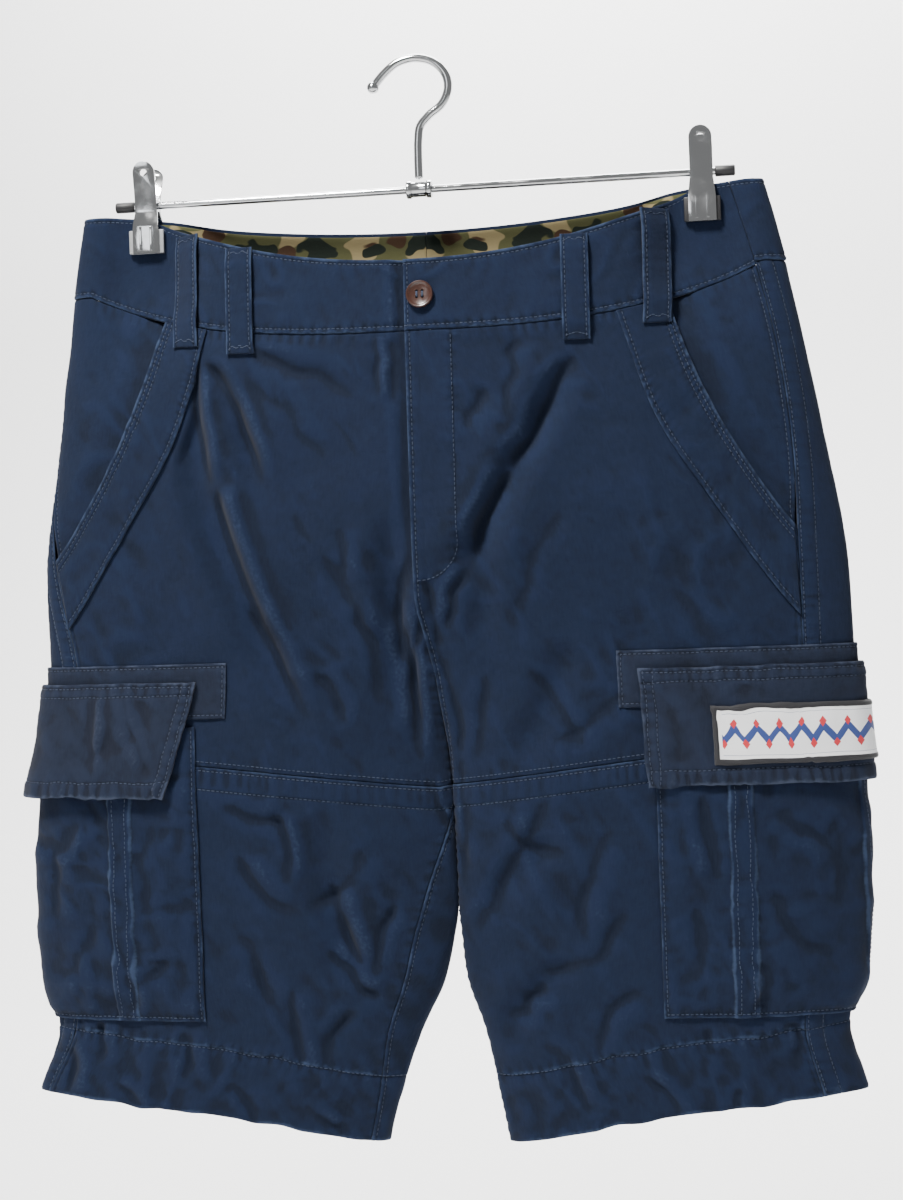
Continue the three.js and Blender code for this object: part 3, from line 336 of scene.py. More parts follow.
def tables():
    angles = np.linspace(0, math.pi, 2 * T_COUNT - 1)
    shares = np.linspace(0, 1, T_COUNT)
    out = {k: np.zeros((2, Z_COUNT, T_COUNT)) for k in ("angle_front", "angle_back", "at_front", "at_back")}
    out.update({k: np.zeros((2, Z_COUNT)) for k in ("front", "back", "inner")})
    for k, side in enumerate((-1, 1)):
        column = [a[k][:, None] for a in (HALF, FRONT, BACK, SPLIT, LEAN, SPACE)]
        x, y = section(side, angles[None], *column)
        run = np.hypot(np.diff(x, axis=1), np.diff(y, axis=1))
        length = np.concatenate([np.zeros((Z_COUNT, 1)), np.cumsum(run, axis=1)], axis=1)
        along = length[:, T_COUNT - 1 : T_COUNT] - length
        out["front"][k], out["back"][k], out["inner"][k] = along[:, 0], -along[:, -1], x[:, 0]
        for i in range(Z_COUNT):
            ahead, behind = slice(T_COUNT - 1, None, -1), slice(T_COUNT - 1, None)
            out["angle_front"][k, i] = np.interp(shares * along[i, 0], along[i, ahead], angles[ahead])
            out["angle_back"][k, i] = np.interp(shares * -along[i, -1], -along[i, behind], angles[behind])
            places = lerp(x[i, 0], HALF[k, i], shares)
            out["at_front"][k, i] = np.interp(places, x[i, : T_COUNT], along[i, : T_COUNT])
            out["at_back"][k, i] = np.interp(places, x[i, ::-1][: T_COUNT], along[i, ::-1][: T_COUNT])
    return out


TABLES = tables()


def at_row(table, side, z):
    """A table of one number for each height, at any height and side."""
    side, z = np.broadcast_arrays(side, z)
    row = np.clip(Z_TOP - z, 0, Z_COUNT - 1.001)
    i = row.astype(int)
    k = (side > 0).astype(int)
    return lerp(table[k, i], table[k, i + 1], row - i)


def at_share(table, side, z, share):
    side, z, share = np.broadcast_arrays(side, z, share)
    row = np.clip(Z_TOP - z, 0, Z_COUNT - 1.001)
    col = np.clip(share, 0, 1) * (T_COUNT - 1.001)
    i, j = row.astype(int), col.astype(int)
    k = (side > 0).astype(int)
    f, g = row - i, col - j
    upper = lerp(table[k, i, j], table[k, i, j + 1], g)
    lower = lerp(table[k, i + 1, j], table[k, i + 1, j + 1], g)
    return lerp(upper, lower, f)


def front_length(side, z):
    return at_row(TABLES["front"], side, z)


def back_length(side, z):
    return at_row(TABLES["back"], side, z)


def outseam(side, z):
    return at_row(OUTSEAM, side, z)


def inseam(side, z):
    return at_row(INSEAM, side, z)


def along_at(side, x, z, face="front"):
    """Length along a face at a distance x from the middle."""
    inner = at_row(TABLES["inner"], side, z)
    share = (x - inner) / (at_row(HALF, side, z) - inner)
    return at_share(TABLES[f"at_{face}"], side, z, share)


# Edges of the waistband, thigh seam and hem, by distance from the middle
def sag(x, reach, power):
    return 1 - np.clip(np.abs(x) / reach, 0, 1) ** power


def band_top_front(x):
    return -94 - 42 * sag(x, CLIP_X, 2.2) + 2 * smooth((np.abs(x) - CLIP_X) / 30)


def band_top_back(x):
    return -94 - 15 * sag(x, CLIP_X, 2) + 2 * smooth((np.abs(x) - CLIP_X) / 30)


def band_bottom_front(x):
    return -146 - 37 * sag(x, WAIST_HALF, 3)


def band_bottom_back(x):
    return -146 - 12 * sag(x, WAIST_HALF, 2)


def thigh_seam(x):
    return -483 + 0.12 * np.abs(x)


def hem_edge(x):
    share = np.clip((np.abs(x) - 42) / 233, 0, 1)
    return -719 + 0.145 * (np.abs(x) - 42) + 18 * share * (1 - share) + 1.5 * noise(np.abs(x), 0, 16, 5)


def flat(z):
    return lambda x: z + 0 * x


def spline(points, count):
    """Even stretches of a centripetal curve through points."""
    p = np.array(points, float)
    p = np.vstack([2 * p[0] - p[1], p, 2 * p[-1] - p[-2]])
    out = []
    for t in np.linspace(0, len(points) - 1, count + 1):
        i = min(int(t), len(points) - 2)
        x0, x1, x2, x3 = p[i : i + 4]
        d0, d1, d2 = (math.sqrt(np.linalg.norm(b - a)) for a, b in ((x0, x1), (x1, x2), (x2, x3)))
        m1 = ((x1 - x0) / d0 - (x2 - x0) / (d0 + d1) + (x2 - x1) / d1) * d1
        m2 = ((x2 - x1) / d1 - (x3 - x1) / (d1 + d2) + (x3 - x2) / d2) * d1
        s = t - i
        out.append(x1 + m1 * s + (3 * (x2 - x1) - 2 * m1 - m2) * s * s + (2 * (x1 - x2) + m1 + m2) * s**3)
    return np.array(out)


def edge_at(curve):
    points = spline(curve, 60)
    return lambda side, z: np.interp(-z, -points[:, 1], points[:, 0]) - side * EDGE_SHIFT


opening_at, trim_at = edge_at(OPENING), edge_at(TRIM)


class Relief:
    """Heights on a one-millimetre grid, drawn with strokes and read at any place."""

    LEFT, TOP, WIDE, TALL = -310, -60, 621, 701

    def __init__(self):
        self.height = np.zeros((self.TALL, self.WIDE))
        self.x = self.LEFT + np.arange(self.WIDE)[None].astype(float)
        self.z = self.TOP - np.arange(self.TALL)[:, None].astype(float)

    def near(self, row, steps):
        """Distance from a curved line through three points, its side and the share of the way along it."""
        a, b, c = (np.array(p, float) for p in ((row.x1, row.z1), (row.x2, row.z2), (row.x3, row.z3)))
        control = 2 * b - (a + c) / 2
        t = np.linspace(0, 1, steps + 1)[:, None]
        line = (1 - t) ** 2 * a + 2 * t * (1 - t) * control + t * t * c
        reach = 4 * row.width
        (left, bottom), (right, top) = line.min(axis=0), line.max(axis=0)
        spans = ((left - reach - self.LEFT, right + reach - self.LEFT, self.WIDE),
                 (self.TOP - top - reach, self.TOP - bottom + reach, self.TALL))
        cols, rows = (slice(*np.clip([first, last], 0, count).astype(int)) for first, last, count in spans)
        x, z = np.broadcast_arrays(self.x[:, cols], self.z[rows])
        best = np.full(x.shape, np.inf)
        at, hand = np.zeros(x.shape), np.ones(x.shape)
        for i in range(steps):
            d = line[i + 1] - line[i]
            px, pz = x - line[i, 0], z - line[i, 1]
            s = np.clip((px * d[0] + pz * d[1]) / (d @ d), 0, 1)
            away = np.hypot(px - s * d[0], pz - s * d[1])
            closer = away < best
            best = np.where(closer, away, best)
            at = np.where(closer, (i + s) / steps, at)
            hand = np.where(closer, np.sign(d[0] * pz - d[1] * px), hand)
        return (rows, cols), best, hand, at

    def fold(self, row):
        window, away, _, at = self.near(row, 10)
        q = away / row.width
        ends = smooth(at / 0.25) * smooth((1 - at) / 0.3)
        self.height[window] -= row.depth * ends * (1 - 0.8 * q * q) * np.exp(-0.7 * q * q)

    def crease(self, row, seed):
        window, away, hand, at = self.near(row, 16)
        wander = noise(at * 100, 0, 22, seed) * 0.35
        q = away * hand / row.width + wander
        depth = 2.1 * row.depth * (0.8 + 0.45 * noise(at * 100, 0, 30, seed + 1))
        ends = smooth(at / 0.22) * smooth((1 - at) / 0.3)
        ridge = bell((q - np.sign(row.skew) * 1.5) / 1.1) * abs(row.skew)
        self.height[window] += depth * ends * (ridge - 1.35 * np.exp(-2 * np.sqrt(q * q + 0.02)))

    def at(self, x, z):
        col = np.clip(x - self.LEFT, 0, self.WIDE - 1.001)
        row = np.clip(self.TOP - z, 0, self.TALL - 1.001)
        i, j = row.astype(int), col.astype(int)
        f, g = row - i, col - j
        h = self.height
        return lerp(lerp(h[i, j], h[i, j + 1], g), lerp(h[i + 1, j], h[i + 1, j + 1], g), f)


FOLD_MAP = {"front": Relief(), "back": Relief()}
for fold in FOLDS:
    FOLD_MAP[fold.face].fold(fold)
CREASE_MAP = {place: Relief() for place in dict.fromkeys(row.place for row in CREASES)}
for number, crease in enumerate(CREASES):
    CREASE_MAP[crease.place].crease(crease, 10 + 2 * number)
for face in ("front", "back"):
    shift = 0 if face == "front" else 400
    ground = CREASE_MAP[face]
    for cell, height in ((52, 1.3), (24, 0.6)):
        ground.height += height * noise(ground.x + shift, ground.z + 0.3 * ground.x, cell, cell + shift)
    for cell, height in ((36, 2.1), (17, 1.2), (8, 0.5)):
        aslant, down = ground.x + 0.5 * ground.z, 0.7 * ground.z - 0.2 * ground.x
        ground.height += height * crumple(aslant, down, cell, 3 * cell + shift)


def fold_share(side, along, x, z):
    """How much of the large folds is left at a place."""
    inner = front_length(side, z) - np.abs(along)
    pocket = smooth((z - BAND_TOP) / 15) + smooth((POCKET_BOTTOM - z) / 12)
    ahead = np.where(side < 0, FADE_AHEAD["left"], FADE_AHEAD["right"])
    clear = np.where(along > 0, smooth((along - ahead) / 14), smooth((-along - 105) / 14))
    trim = np.where(along > 0, smooth((trim_at(side, z) - x - 2) / 10), 1)
    legs = lerp(1, smooth(inner / 26), at_row(SPLIT, side, z))
    share = smooth((-168 - z) / 22) * trim * legs * smooth((np.abs(along) - 40) / 25)
    return share * np.clip(pocket + clear, 0, 1)


def crease_share(side, along, x, z):
    inner = front_length(side, z) - np.abs(along)
    legs = lerp(1, smooth(inner / 12), at_row(SPLIT, side, z))
    bottom = np.where(along > 0, band_bottom_front(x), band_bottom_back(x))
    seam = 1 - 0.6 * bell((z - thigh_seam(x) + 8) / 8)
    hem = smooth((z - hem_edge(x) + 4) / 14)
    return smooth((bottom - z) / 12) * legs * smooth((np.abs(along) - 10) / 20) * seam * hem


def pinch(x, z):
    aside = np.maximum(0, np.abs(x - CLIP_X) - PINCH_HALF) / PINCH_ACROSS
    below = np.maximum(0, PINCH_BOTTOM - z) / PINCH_DOWN
    return np.exp(-aside * aside - below * below)


def locate(side, along, z):
    """A place past the middle or past an inner fold belongs to the next face."""
    front, back = front_length(side, z), back_length(side, z)
    parted = at_row(SPLIT, side, z) > 0.5
    ahead, behind = along > front, along < -back
    past_front, past_back = along - front, -back - along
    turned = np.where((ahead | behind) & ~parted, -side, side)
    other_front, other_back = front_length(-side, z), back_length(-side, z)
    to_front = np.where(parted, past_front - back, other_front - past_front)
    to_back = np.where(parted, front - past_back, past_back - other_back)
    return turned, np.where(ahead, to_front, np.where(behind, to_back, along))


def skin(side, along, z, fine=True):
    """The outer face of the cloth at lengths along the section and heights."""
    side, along, z = (np.asarray(v, float) for v in np.broadcast_arrays(side, along, z))
    front = along > 0
    share = np.where(front, along / front_length(side, z), -along / back_length(side, z))
    angles = (at_share(TABLES[f"angle_{face}"], side, z, share) for face in ("front", "back"))
    angle = np.where(front, *angles)
    half = at_row(HALF, side, z)
    others = [at_row(t, side, z) for t in (FRONT, BACK, SPLIT, LEAN, SPACE)]
    x, y = section(side, angle, half, *others)
    rounded = np.sqrt(np.clip((half - x) / 12, 0, 1))
    y = lerp(y, np.where(front, PRESSED_FRONT, PRESSED_BACK) * rounded, pinch(x, z))
    place = side * x
    height = np.where(front, FOLD_MAP["front"].at(place, z), FOLD_MAP["back"].at(place, z))
    height = height * fold_share(side, along, x, z)
    if fine:
        more = np.where(front, CREASE_MAP["front"].at(place, z), CREASE_MAP["back"].at(place, z))
        height = height + more * crease_share(side, along, x, z)
    return np.stack([place, y + np.where(front, -height, height), z], axis=-1)


def outward(side, along, z, fine=True):
    """Outward direction of the cloth, from neighbouring points."""
    step = 1.5
    low, high = 0.01 - back_length(side, z), front_length(side, z) - 0.01
    split = at_row(SPLIT, side, z)
    joined = (split < 0.03) | (split > 0.97)

    def near(at):
        s, a = locate(side, at, z)
        s = np.where(joined, s, side)
        a = np.where(joined, a, np.clip(at, low, high))
        return skin(s, a, z, fine)

    inside = np.clip(along, low + 0.5, high - 0.5)
    across = near(along + step) - near(along - step)
    up = skin(side, inside, z + step, fine) - skin(side, inside, z - step, fine)
    normal = np.cross(across, up) * -np.asarray(side)[..., None]
    return normal / np.linalg.norm(normal, axis=-1, keepdims=True)


def lifted(side, along, z, lift, fine=True):
    side, along, z, lift = (np.asarray(v, float) for v in np.broadcast_arrays(side, along, z, lift))
    s, a = locate(side, along, z)
    return skin(s, a, z, fine) + outward(s, a, z, fine) * lift[..., None]


def nest(along):
    """Layers lie a little further apart where they turn round the side fold."""
    return GAP + 0.55 * (1 - smooth((np.abs(along) - 10) / 14))


def lap(z):
    return smooth((z - FLY_BOTTOM + FLY_TAPER) / FLY_TAPER)


def front_start(side, z):
    return front_length(side, z) + (FLY_UNDER if side < 0 else FLY_OVER) * lap(z) - GAP / 2


def seam_side(side, way):
    """Lengths at the side seam, half a gap in front of it, or behind it where way is -1."""
    return lambda z: outseam(side, z) + way * GAP / 2


def back_middle(side):
    return lambda z: GAP / 2 - back_length(side, z)


def under_fly(side, along, z, layer):
    """How far the left side is tucked in under the right one, following the lap so that no light shows."""
    if side > 0:
        return 0
    past = along - front_length(side, z) + FLY_OVER * lap(z) + FLY_BLEND
    return -(layer + TUCK) * smooth(past / (FLY_BLEND - 1)) * smooth(4 * lap(z))


def meets_seam(side, edge):
    z = -200.0
    while edge(side, z) < abs(skin(side, outseam(side, z), z, False)[0]) - 0.5:
        z -= 0.5
    return z


def pocket_start(side, z):
    return along_at(side, POCKET_FRONT[side_name(side)], z)


def flap_lift(side, along, v):
    base = 2 * CLOTH + 2 * GAP
    off = FLAP_OFF[side_name(side)] * lerp(0.62, 1, smooth(1 - along / 110))
    return base + np.maximum(0, off - base) * np.clip(v, 0, 1) ** 1.15


def socket(sockets, key):
    return next(s for s in sockets if key in (s.identifier, s.name))


class Wire:
    """A value in a material's node tree, with arithmetic."""

    def __init__(self, net, output):
        self.net, self.output = net, output

    def __add__(self, other):
        return self.net.math("ADD", self, other)

    __radd__ = __add__

    def __sub__(self, other):
        return self.net.math("SUBTRACT", self, other)

    def __rsub__(self, other):
        return self.net.math("SUBTRACT", other, self)

    def __mul__(self, other):
        return self.net.math("MULTIPLY", self, other)

    __rmul__ = __mul__

    def __lt__(self, other):
        return self.net.math("LESS_THAN", self, other)

    def __gt__(self, other):
        return self.net.math("GREATER_THAN", self, other)


class Net:
    """A material whose nodes are made one line each."""

    def __init__(self, name):
        self.material = bpy.data.materials.new(name)
        self.material.use_nodes = True
        self.tree = self.material.node_tree
        self.shader = self.tree.nodes["Principled BSDF"]

    def put(self, node, key, value):
        target = socket(node.inputs, key)
        if isinstance(value, Wire):
            self.tree.links.new(value.output, target)
        else:
            target.default_value = value

    def node(self, kind, settings=None, inputs=None, out=0):
        node = self.tree.nodes.new(kind)
        for key, value in (settings or {}).items():
            setattr(node, key, value)
        for key, value in (inputs or {}).items():
            self.put(node, key, value)
        output = node.outputs[out] if isinstance(out, int) else socket(node.outputs, out)
        return Wire(self, output)

    def math(self, operation, *values, clamp=False):
        node = self.tree.nodes.new("ShaderNodeMath")
        node.operation, node.use_clamp = operation, clamp
        for k, value in enumerate(values):
            if isinstance(value, Wire):
                self.tree.links.new(value.output, node.inputs[k])
            else:
                node.inputs[k].default_value = value
        return Wire(self, node.outputs[0])

    def mix(self, factor, a, b, kind="MIX"):
        return self.node("ShaderNodeMix", {"data_type": "RGBA", "blend_type": kind, "clamp_factor": True},
                         {"Factor_Float": factor, "A_Color": a, "B_Color": b}, "Result_Color")

    def noise(self, at, scale, detail=2.0, roughness=0.5):
        return self.node("ShaderNodeTexNoise", {},
                         {"Vector": at, "Scale": scale, "Detail": detail, "Roughness": roughness})

    def uv(self, name):
        return self.node("ShaderNodeUVMap", {"uv_map": name})

    def attribute(self, name):
        return self.node("ShaderNodeAttribute", {"attribute_name": name}, {}, "Fac")

    def parts(self, vector):
        """A vector's first two parts."""
        first = self.node("ShaderNodeSeparateXYZ", {}, {"Vector": vector})
        return first, Wire(self, first.output.node.outputs[1])

    def mapped(self, at, scale, location=(0.0, 0.0, 0.0)):
        return self.node("ShaderNodeMapping", {}, {"Vector": at, "Location": location, "Scale": scale})

    def zigzag(self, value):
        """From 1 at each whole number to 0 halfway between them."""
        return self.math("ABSOLUTE", self.math("FRACT", value) - 0.5) * 2

    def bump(self, height, strength):
        return self.node("ShaderNodeBump", {}, {"Strength": strength, "Distance": 1.0, "Height": height})

    def ramp(self, value, low, high):
        return self.node("ShaderNodeMapRange", {"interpolation_type": "SMOOTHSTEP"},
                         {"Value": value, "From Min": low, "From Max": high})

    def finish(self, **inputs):
        for key, value in inputs.items():
            self.put(self.shader, key.replace("_", " "), value)
        return self.material


TWILL_PITCH, CLOTH_SPECULAR = 0.0011, 0.12


# The base colour mixes a lit copy and a painted-shade copy of the cloth's colour. Random mottle picks between
# them, and the fold mark paints shade into crease valleys and painted light onto their ridges.
def cloth_material(name, lit, shaded_colour, worn_colour, wear_share=0.75):
    net = Net(name)
    place = net.uv("cloth")
    across, down = net.parts(place)
    # fold carries painted shade in crease valleys and painted light on ridges. wear carries worn seams and
    # edges, and on crease ridges it is partly painted highlight.
    wear, fold = net.attribute("wear"), net.attribute("fold")
    twill = net.zigzag((across + down) * (1 / TWILL_PITCH))
    stretched = net.mapped(place, (1.0, 0.16, 1.0))
    slub = net.noise(stretched, 900.0, 2.0)
    patches = net.noise(place, 22.0, 3.0, 0.6)
    mottle = net.noise(place, 160.0, 3.0, 0.65)
    # Painted light and shade: mottle and the fold mark mix the lit colour with the painted-shade colour.
    shade = net.ramp(patches * 0.3 + mottle * 0.35 + (fold - 0.5) * 0.85 + 0.2, 0.25, 0.75)
    colour = net.mix(shade, shaded_colour, lit)
    weave = (twill - 0.5) * 0.22 + (slub - 0.5) * 0.5 + 0.5
    colour = net.mix(weave, colour, net.mix(0.35, colour, worn_colour))
    # Lighter worn colour along seams and edges, and on crease ridges partly as painted highlight.
    broken = net.ramp(net.noise(place, 420.0, 2.0) * 0.6 + wear * 0.75, 0.42, 0.95)
    colour = net.mix(broken * wear_share, colour, worn_colour)
    height = net.noise(place, 260.0, 3.0, 0.6) * 0.0006 + twill * 0.00005 + slub * 0.00009
    return net.finish(Base_Color=colour, Roughness=0.92, Sheen_Weight=0.04, Sheen_Roughness=0.5,
                      Normal=net.bump(height, 0.55), Specular_IOR_Level=CLOTH_SPECULAR)


def camo_material():
    net = Net("camouflage")
    place = net.uv("cloth")
    # The camouflage colours are set darker than the print's own, as painted shade, for the facing lies in the
    # shade inside the back waistband.
    colour = (0.075, 0.076, 0.034, 1)
    tan, brown, green = (0.24, 0.195, 0.1, 1), (0.05, 0.028, 0.017, 1), (0.013, 0.018, 0.014, 1)
    for blot, location, scale, size, roughness, start in (
            (tan, (0.0, 0.0, 0.0), (1.0, 1.5, 1.0), 27.0, 0.4, 0.535),
            (brown, (3.1, 1.7, 0.0), (1.0, 1.4, 1.0), 34.0, 0.4, 0.555),
            (green, (7.3, 4.9, 0.0), (1.1, 1.5, 1.0), 38.0, 0.45, 0.565)):
        blots = net.noise(net.mapped(place, scale, location), size, 1.5, roughness)
        colour = net.mix(net.ramp(blots, start, start + 0.015), colour, blot)
    normal = net.bump(net.noise(place, 500.0, 2.0) * 0.0003, 0.5)
    return net.finish(Base_Color=colour, Roughness=0.9, Normal=normal, Specular_IOR_Level=CLOTH_SPECULAR)


def patch_material():
    """A bordered field with a zigzag band, chevrons and small diamonds."""
    net = Net("patch")
    u, v = net.parts(net.uv("design"))
    sizes = ((u, PATCH_ACROSS), (v, PATCH_DOWN))
    rim = net.math("MINIMUM", *(net.math("MINIMUM", at * size, (1 - at) * size) for at, size in sizes))
    tooth = net.zigzag(u * 9)
    off = net.math("ABSOLUTE", v - 0.5) * 2
    band = net.math("ABSOLUTE", (v - 0.38) - tooth * 0.24) < 0.085
    gem = (tooth * 0.5 + net.math("ABSOLUTE", v - 0.33) * 1.8) < 0.16
    upper = ((1 - tooth) * 0.5 + net.math("ABSOLUTE", v - 0.68) * 1.8) < 0.15
    lines = net.math("MULTIPLY", off > 0.70, off < 0.76)
    white, navy = (0.8, 0.81, 0.83, 1), (0.02, 0.045, 0.19, 1)
    red, black = (0.5, 0.02, 0.03, 1), (0.008, 0.008, 0.011, 1)
    inside = rim > PATCH_FIELD
    colour = net.mix(band * inside, white, navy)
    colour = net.mix(lines * inside, colour, navy)
    colour = net.mix(gem * inside, colour, red)
    colour = net.mix(upper * inside, colour, red)
    colour = net.mix(rim < PATCH_BORDER, colour, black)
    floss = net.noise(net.mapped(net.uv("cloth"), (0.25, 1.6, 1.0)), 1500.0, 1.0)
    return net.finish(Base_Color=colour, Roughness=0.75, Sheen_Weight=0.15,
                      Normal=net.bump(floss * 0.0003, 0.5))


def metal_material():
    net = Net("chrome")
    place = net.node("ShaderNodeTexCoord", {}, {}, "Object")
    smear = net.noise(place, 90.0, 3.0)
    rough = 0.1 + net.ramp(smear, 0.45, 0.75) * 0.14
    normal = net.bump(net.noise(place, 70.0, 1.0) * 0.0016, 0.15)
    return net.finish(Base_Color=(0.56, 0.57, 0.58, 1), Metallic=1.0, Roughness=rough, Normal=normal)


def plain_material(name, colour, roughness, scale=400.0, bump=0.0002, **more):
    net = Net(name)
    place = net.node("ShaderNodeTexCoord", {}, {}, "Object")
    texture = net.noise(place, scale, 3.0)
    normal = net.bump(texture * bump, 0.4)
    darker = tuple(c * 0.7 for c in colour[:3]) + (1,)
    return net.finish(Base_Color=net.mix(texture, darker, colour), Roughness=roughness, Normal=normal, **more)


# Each cloth gets a lit colour, a painted-shade copy of it that creases and mottle darken towards, and a worn
# colour.
NAVY = cloth_material("navy twill", (0.0024, 0.0065, 0.0235, 1), (0.0006, 0.0016, 0.007, 1),
                      (0.029, 0.046, 0.088, 1))
FLAP_NAVY = cloth_material("grey navy twill", (0.0052, 0.0092, 0.0235, 1), (0.0014, 0.0024, 0.0072, 1),
                           (0.043, 0.055, 0.088, 1))
CAMO = camo_material()
PATCH = patch_material()
THREAD = plain_material("thread", (0.03, 0.045, 0.085, 1), 0.7, 2500.0, 0.0003)
BUTTON = plain_material("button", (0.045, 0.016, 0.01, 1), 0.3, 220.0, 0.00005, Coat_Weight=0.4)
CHROME = metal_material()
RUBBER = plain_material("rubber", (0.012, 0.012, 0.014, 1), 0.5)
GREY_RUBBER = plain_material("grey pads", (0.32, 0.33, 0.34, 1), 0.45)


def spread(length, step, start=(), end=()):
    """Places along a length, close together at both ends and round the marked distances from each end."""
    fine = [0, 0.45, 1.0, 1.8, length, length - 0.45, length - 1.0, length - 1.8]
    for mark in (*start, *(length - mark for mark in end)):
        fine += [mark - 1.3, mark - 0.65, mark, mark + 0.65, mark + 1.3]
    fine = sorted(v for v in set(fine) if 0 <= v <= length)
    kept = [fine[0]]
    for v in fine[1:]:
        if v - kept[-1] > 0.3:
            kept.append(v)
    kept[-1] = length
    out = []
    for a, b in zip(kept, kept[1:]):
        parts = max(1, round((b - a) / step))
        out += [a + (b - a) * i / parts for i in range(parts)]
    return np.array(out + [length])


def anchored(places, nominal, actual, hold):
    """Places on a nominal length moved to an actual one, true to their distance from either end near it."""
    hold = min(hold, nominal * 0.4)
    real = np.minimum(hold, actual * 0.4)
    middle = real + (places - hold) * (actual - 2 * real) / (nominal - 2 * hold)
    late = actual - (nominal - places) * real / hold
    return np.where(places < hold, places * real / hold, np.where(places > nominal - hold, late, middle))


pieces = {}
stitches = []


def new_object(name, data):
    made = bpy.data.objects.new(name, data)
    bpy.context.collection.objects.link(made)
    return made


def shade_smooth(mesh):
    mesh.polygons.foreach_set("use_smooth", np.ones(len(mesh.polygons), bool))


def with_modifiers(piece):
    """A piece's mesh as its modifiers leave it."""
    bpy.context.view_layer.update()
    return bpy.data.meshes.new_from_object(piece.evaluated_get(bpy.context.evaluated_depsgraph_get()))


def make_mesh(name, verts, quads, uv=None, marks=None, material=None):
    """A smooth mesh object from vertices in millimetres and quads."""
    mesh = bpy.data.meshes.new(name)
    quads = np.asarray(quads)
    mesh.vertices.add(len(verts))
    mesh.vertices.foreach_set("co", (np.asarray(verts, float) * MM).ravel())
    mesh.loops.add(quads.size)
    mesh.loops.foreach_set("vertex_index", quads.ravel())
    mesh.polygons.add(len(quads))
    mesh.polygons.foreach_set("loop_start", np.arange(0, quads.size, 4))
    shade_smooth(mesh)
    mesh.update(calc_edges=True)
    if uv is not None:
        layer = mesh.uv_layers.new(name="cloth")
        layer.data.foreach_set("uv", uv[quads.ravel()].ravel())
    for mark, values in (marks or {}).items():
        mesh.attributes.new(mark, "FLOAT", "POINT").data.foreach_set("value", values.astype(np.float32))
    if material:
        mesh.materials.append(material)
    piece = new_object(name, mesh)
    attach(piece, "root")
    return piece


def shell(outer, inner):
    """Vertices and quads of a closed wall between two grids of points."""
    rows, cols = outer.shape[:2]
    ids = np.arange(2 * rows * cols).reshape(2, rows, cols)

    def faces(a, b, c, d):
        return np.stack([a.ravel(), b.ravel(), c.ravel(), d.ravel()], axis=1)

    o, i = ids
    quads = np.concatenate([
        faces(o[:-1, :-1], o[1:, :-1], o[1:, 1:], o[:-1, 1:]),
        faces(i[:-1, :-1], i[:-1, 1:], i[1:, 1:], i[1:, :-1]),
        faces(o[:-1, 0], i[:-1, 0], i[1:, 0], o[1:, 0]),
        faces(o[:-1, -1], o[1:, -1], i[1:, -1], i[:-1, -1]),
        faces(o[0, :-1], o[0, 1:], i[0, 1:], i[0, :-1]),
        faces(o[-1, :-1], i[-1, :-1], i[-1, 1:], o[-1, 1:]),
    ])
    verts = np.concatenate([outer.reshape(-1, 3), inner.reshape(-1, 3)])
    a, b, c = (verts[quads[:, k]] for k in range(3))
    d = verts[quads[:, 3]]
    volume = (np.cross(a, b) * c).sum() + (np.cross(a, c) * d).sum()
    return verts, quads if volume > 0 else quads[:, ::-1]


def softened(height, reach):
    """Mean over the neighbours on either side, along both axes of a grid."""
    for axis in (0, 1):
        edges = [(reach, reach) if k == axis else (0, 0) for k in (0, 1)]
        padded = np.pad(height, edges, mode="edge")
        span = np.arange(height.shape[axis])
        height = sum(np.take(padded, span + k, axis=axis) for k in range(2 * reach + 1)) / (2 * reach + 1)
    return height


def cloth(node, g, faces, detail, material, rests_on):
    """A wall of cloth over a grid of places g. faces gives its outer and inner heights above the skin, and
    detail the sewn relief of its outer face with how worn it is."""
    outer_lift, inner_lift = faces
    raised, wear = detail
    base = np.broadcast_to(outer_lift, g.along.shape)
    s, a = locate(g.side, g.along, g.z)
    ground, normal = skin(s, a, g.z), outward(s, a, g.z)
    edge = np.minimum(np.minimum(g.start, g.end), np.minimum(g.top, g.bottom))
    round_off = 0.42 * bell(edge / 0.75)
    outer = ground + normal * (base + raised - round_off)[..., None]
    under = np.broadcast_to(inner_lift, g.along.shape) + 0.7 * np.clip(raised, -0.4, 0.6) * (edge > 0.1)
    under = np.minimum(under, base + raised - round_off - 0.55)
    inner = ground + normal * (under + 0.2 * bell(edge / 0.75))[..., None]
    verts, quads = shell(outer, inner)
    uv = np.stack([g.along, g.z], axis=-1).reshape(-1, 2) * MM
    height = base + raised + ((ground - skin(s, a, g.z, False)) * normal).sum(axis=-1)
    # Crease relief above its softened mean. The fold mark paints shade into the crease valleys and painted
    # light onto their ridges.
    above = height - softened(softened(height, 2), 2)
    fold = np.clip(0.5 + 1.5 * np.sign(above) * np.maximum(0, np.abs(above) - 0.1), 0, 1).ravel()
    # Crease ridges also get a lighter worn colour, partly rubbed wear and partly painted highlight.
    wear = np.clip(wear + 0.35 * np.clip(1.4 * above - 0.2, 0, 1), 0, 1).ravel()
    marks = {"wear": np.concatenate([wear, wear * 0.4]), "fold": np.concatenate([fold, 0.5 + 0 * fold])}
    name = f"{node}_cloth"
    piece = make_mesh(name, verts, quads, np.concatenate([uv, uv]), marks, material)
    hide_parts(node)
    pieces[node] = SimpleNamespace(piece=piece, outer=outer, normal=normal, g=g)
    return pieces[node]


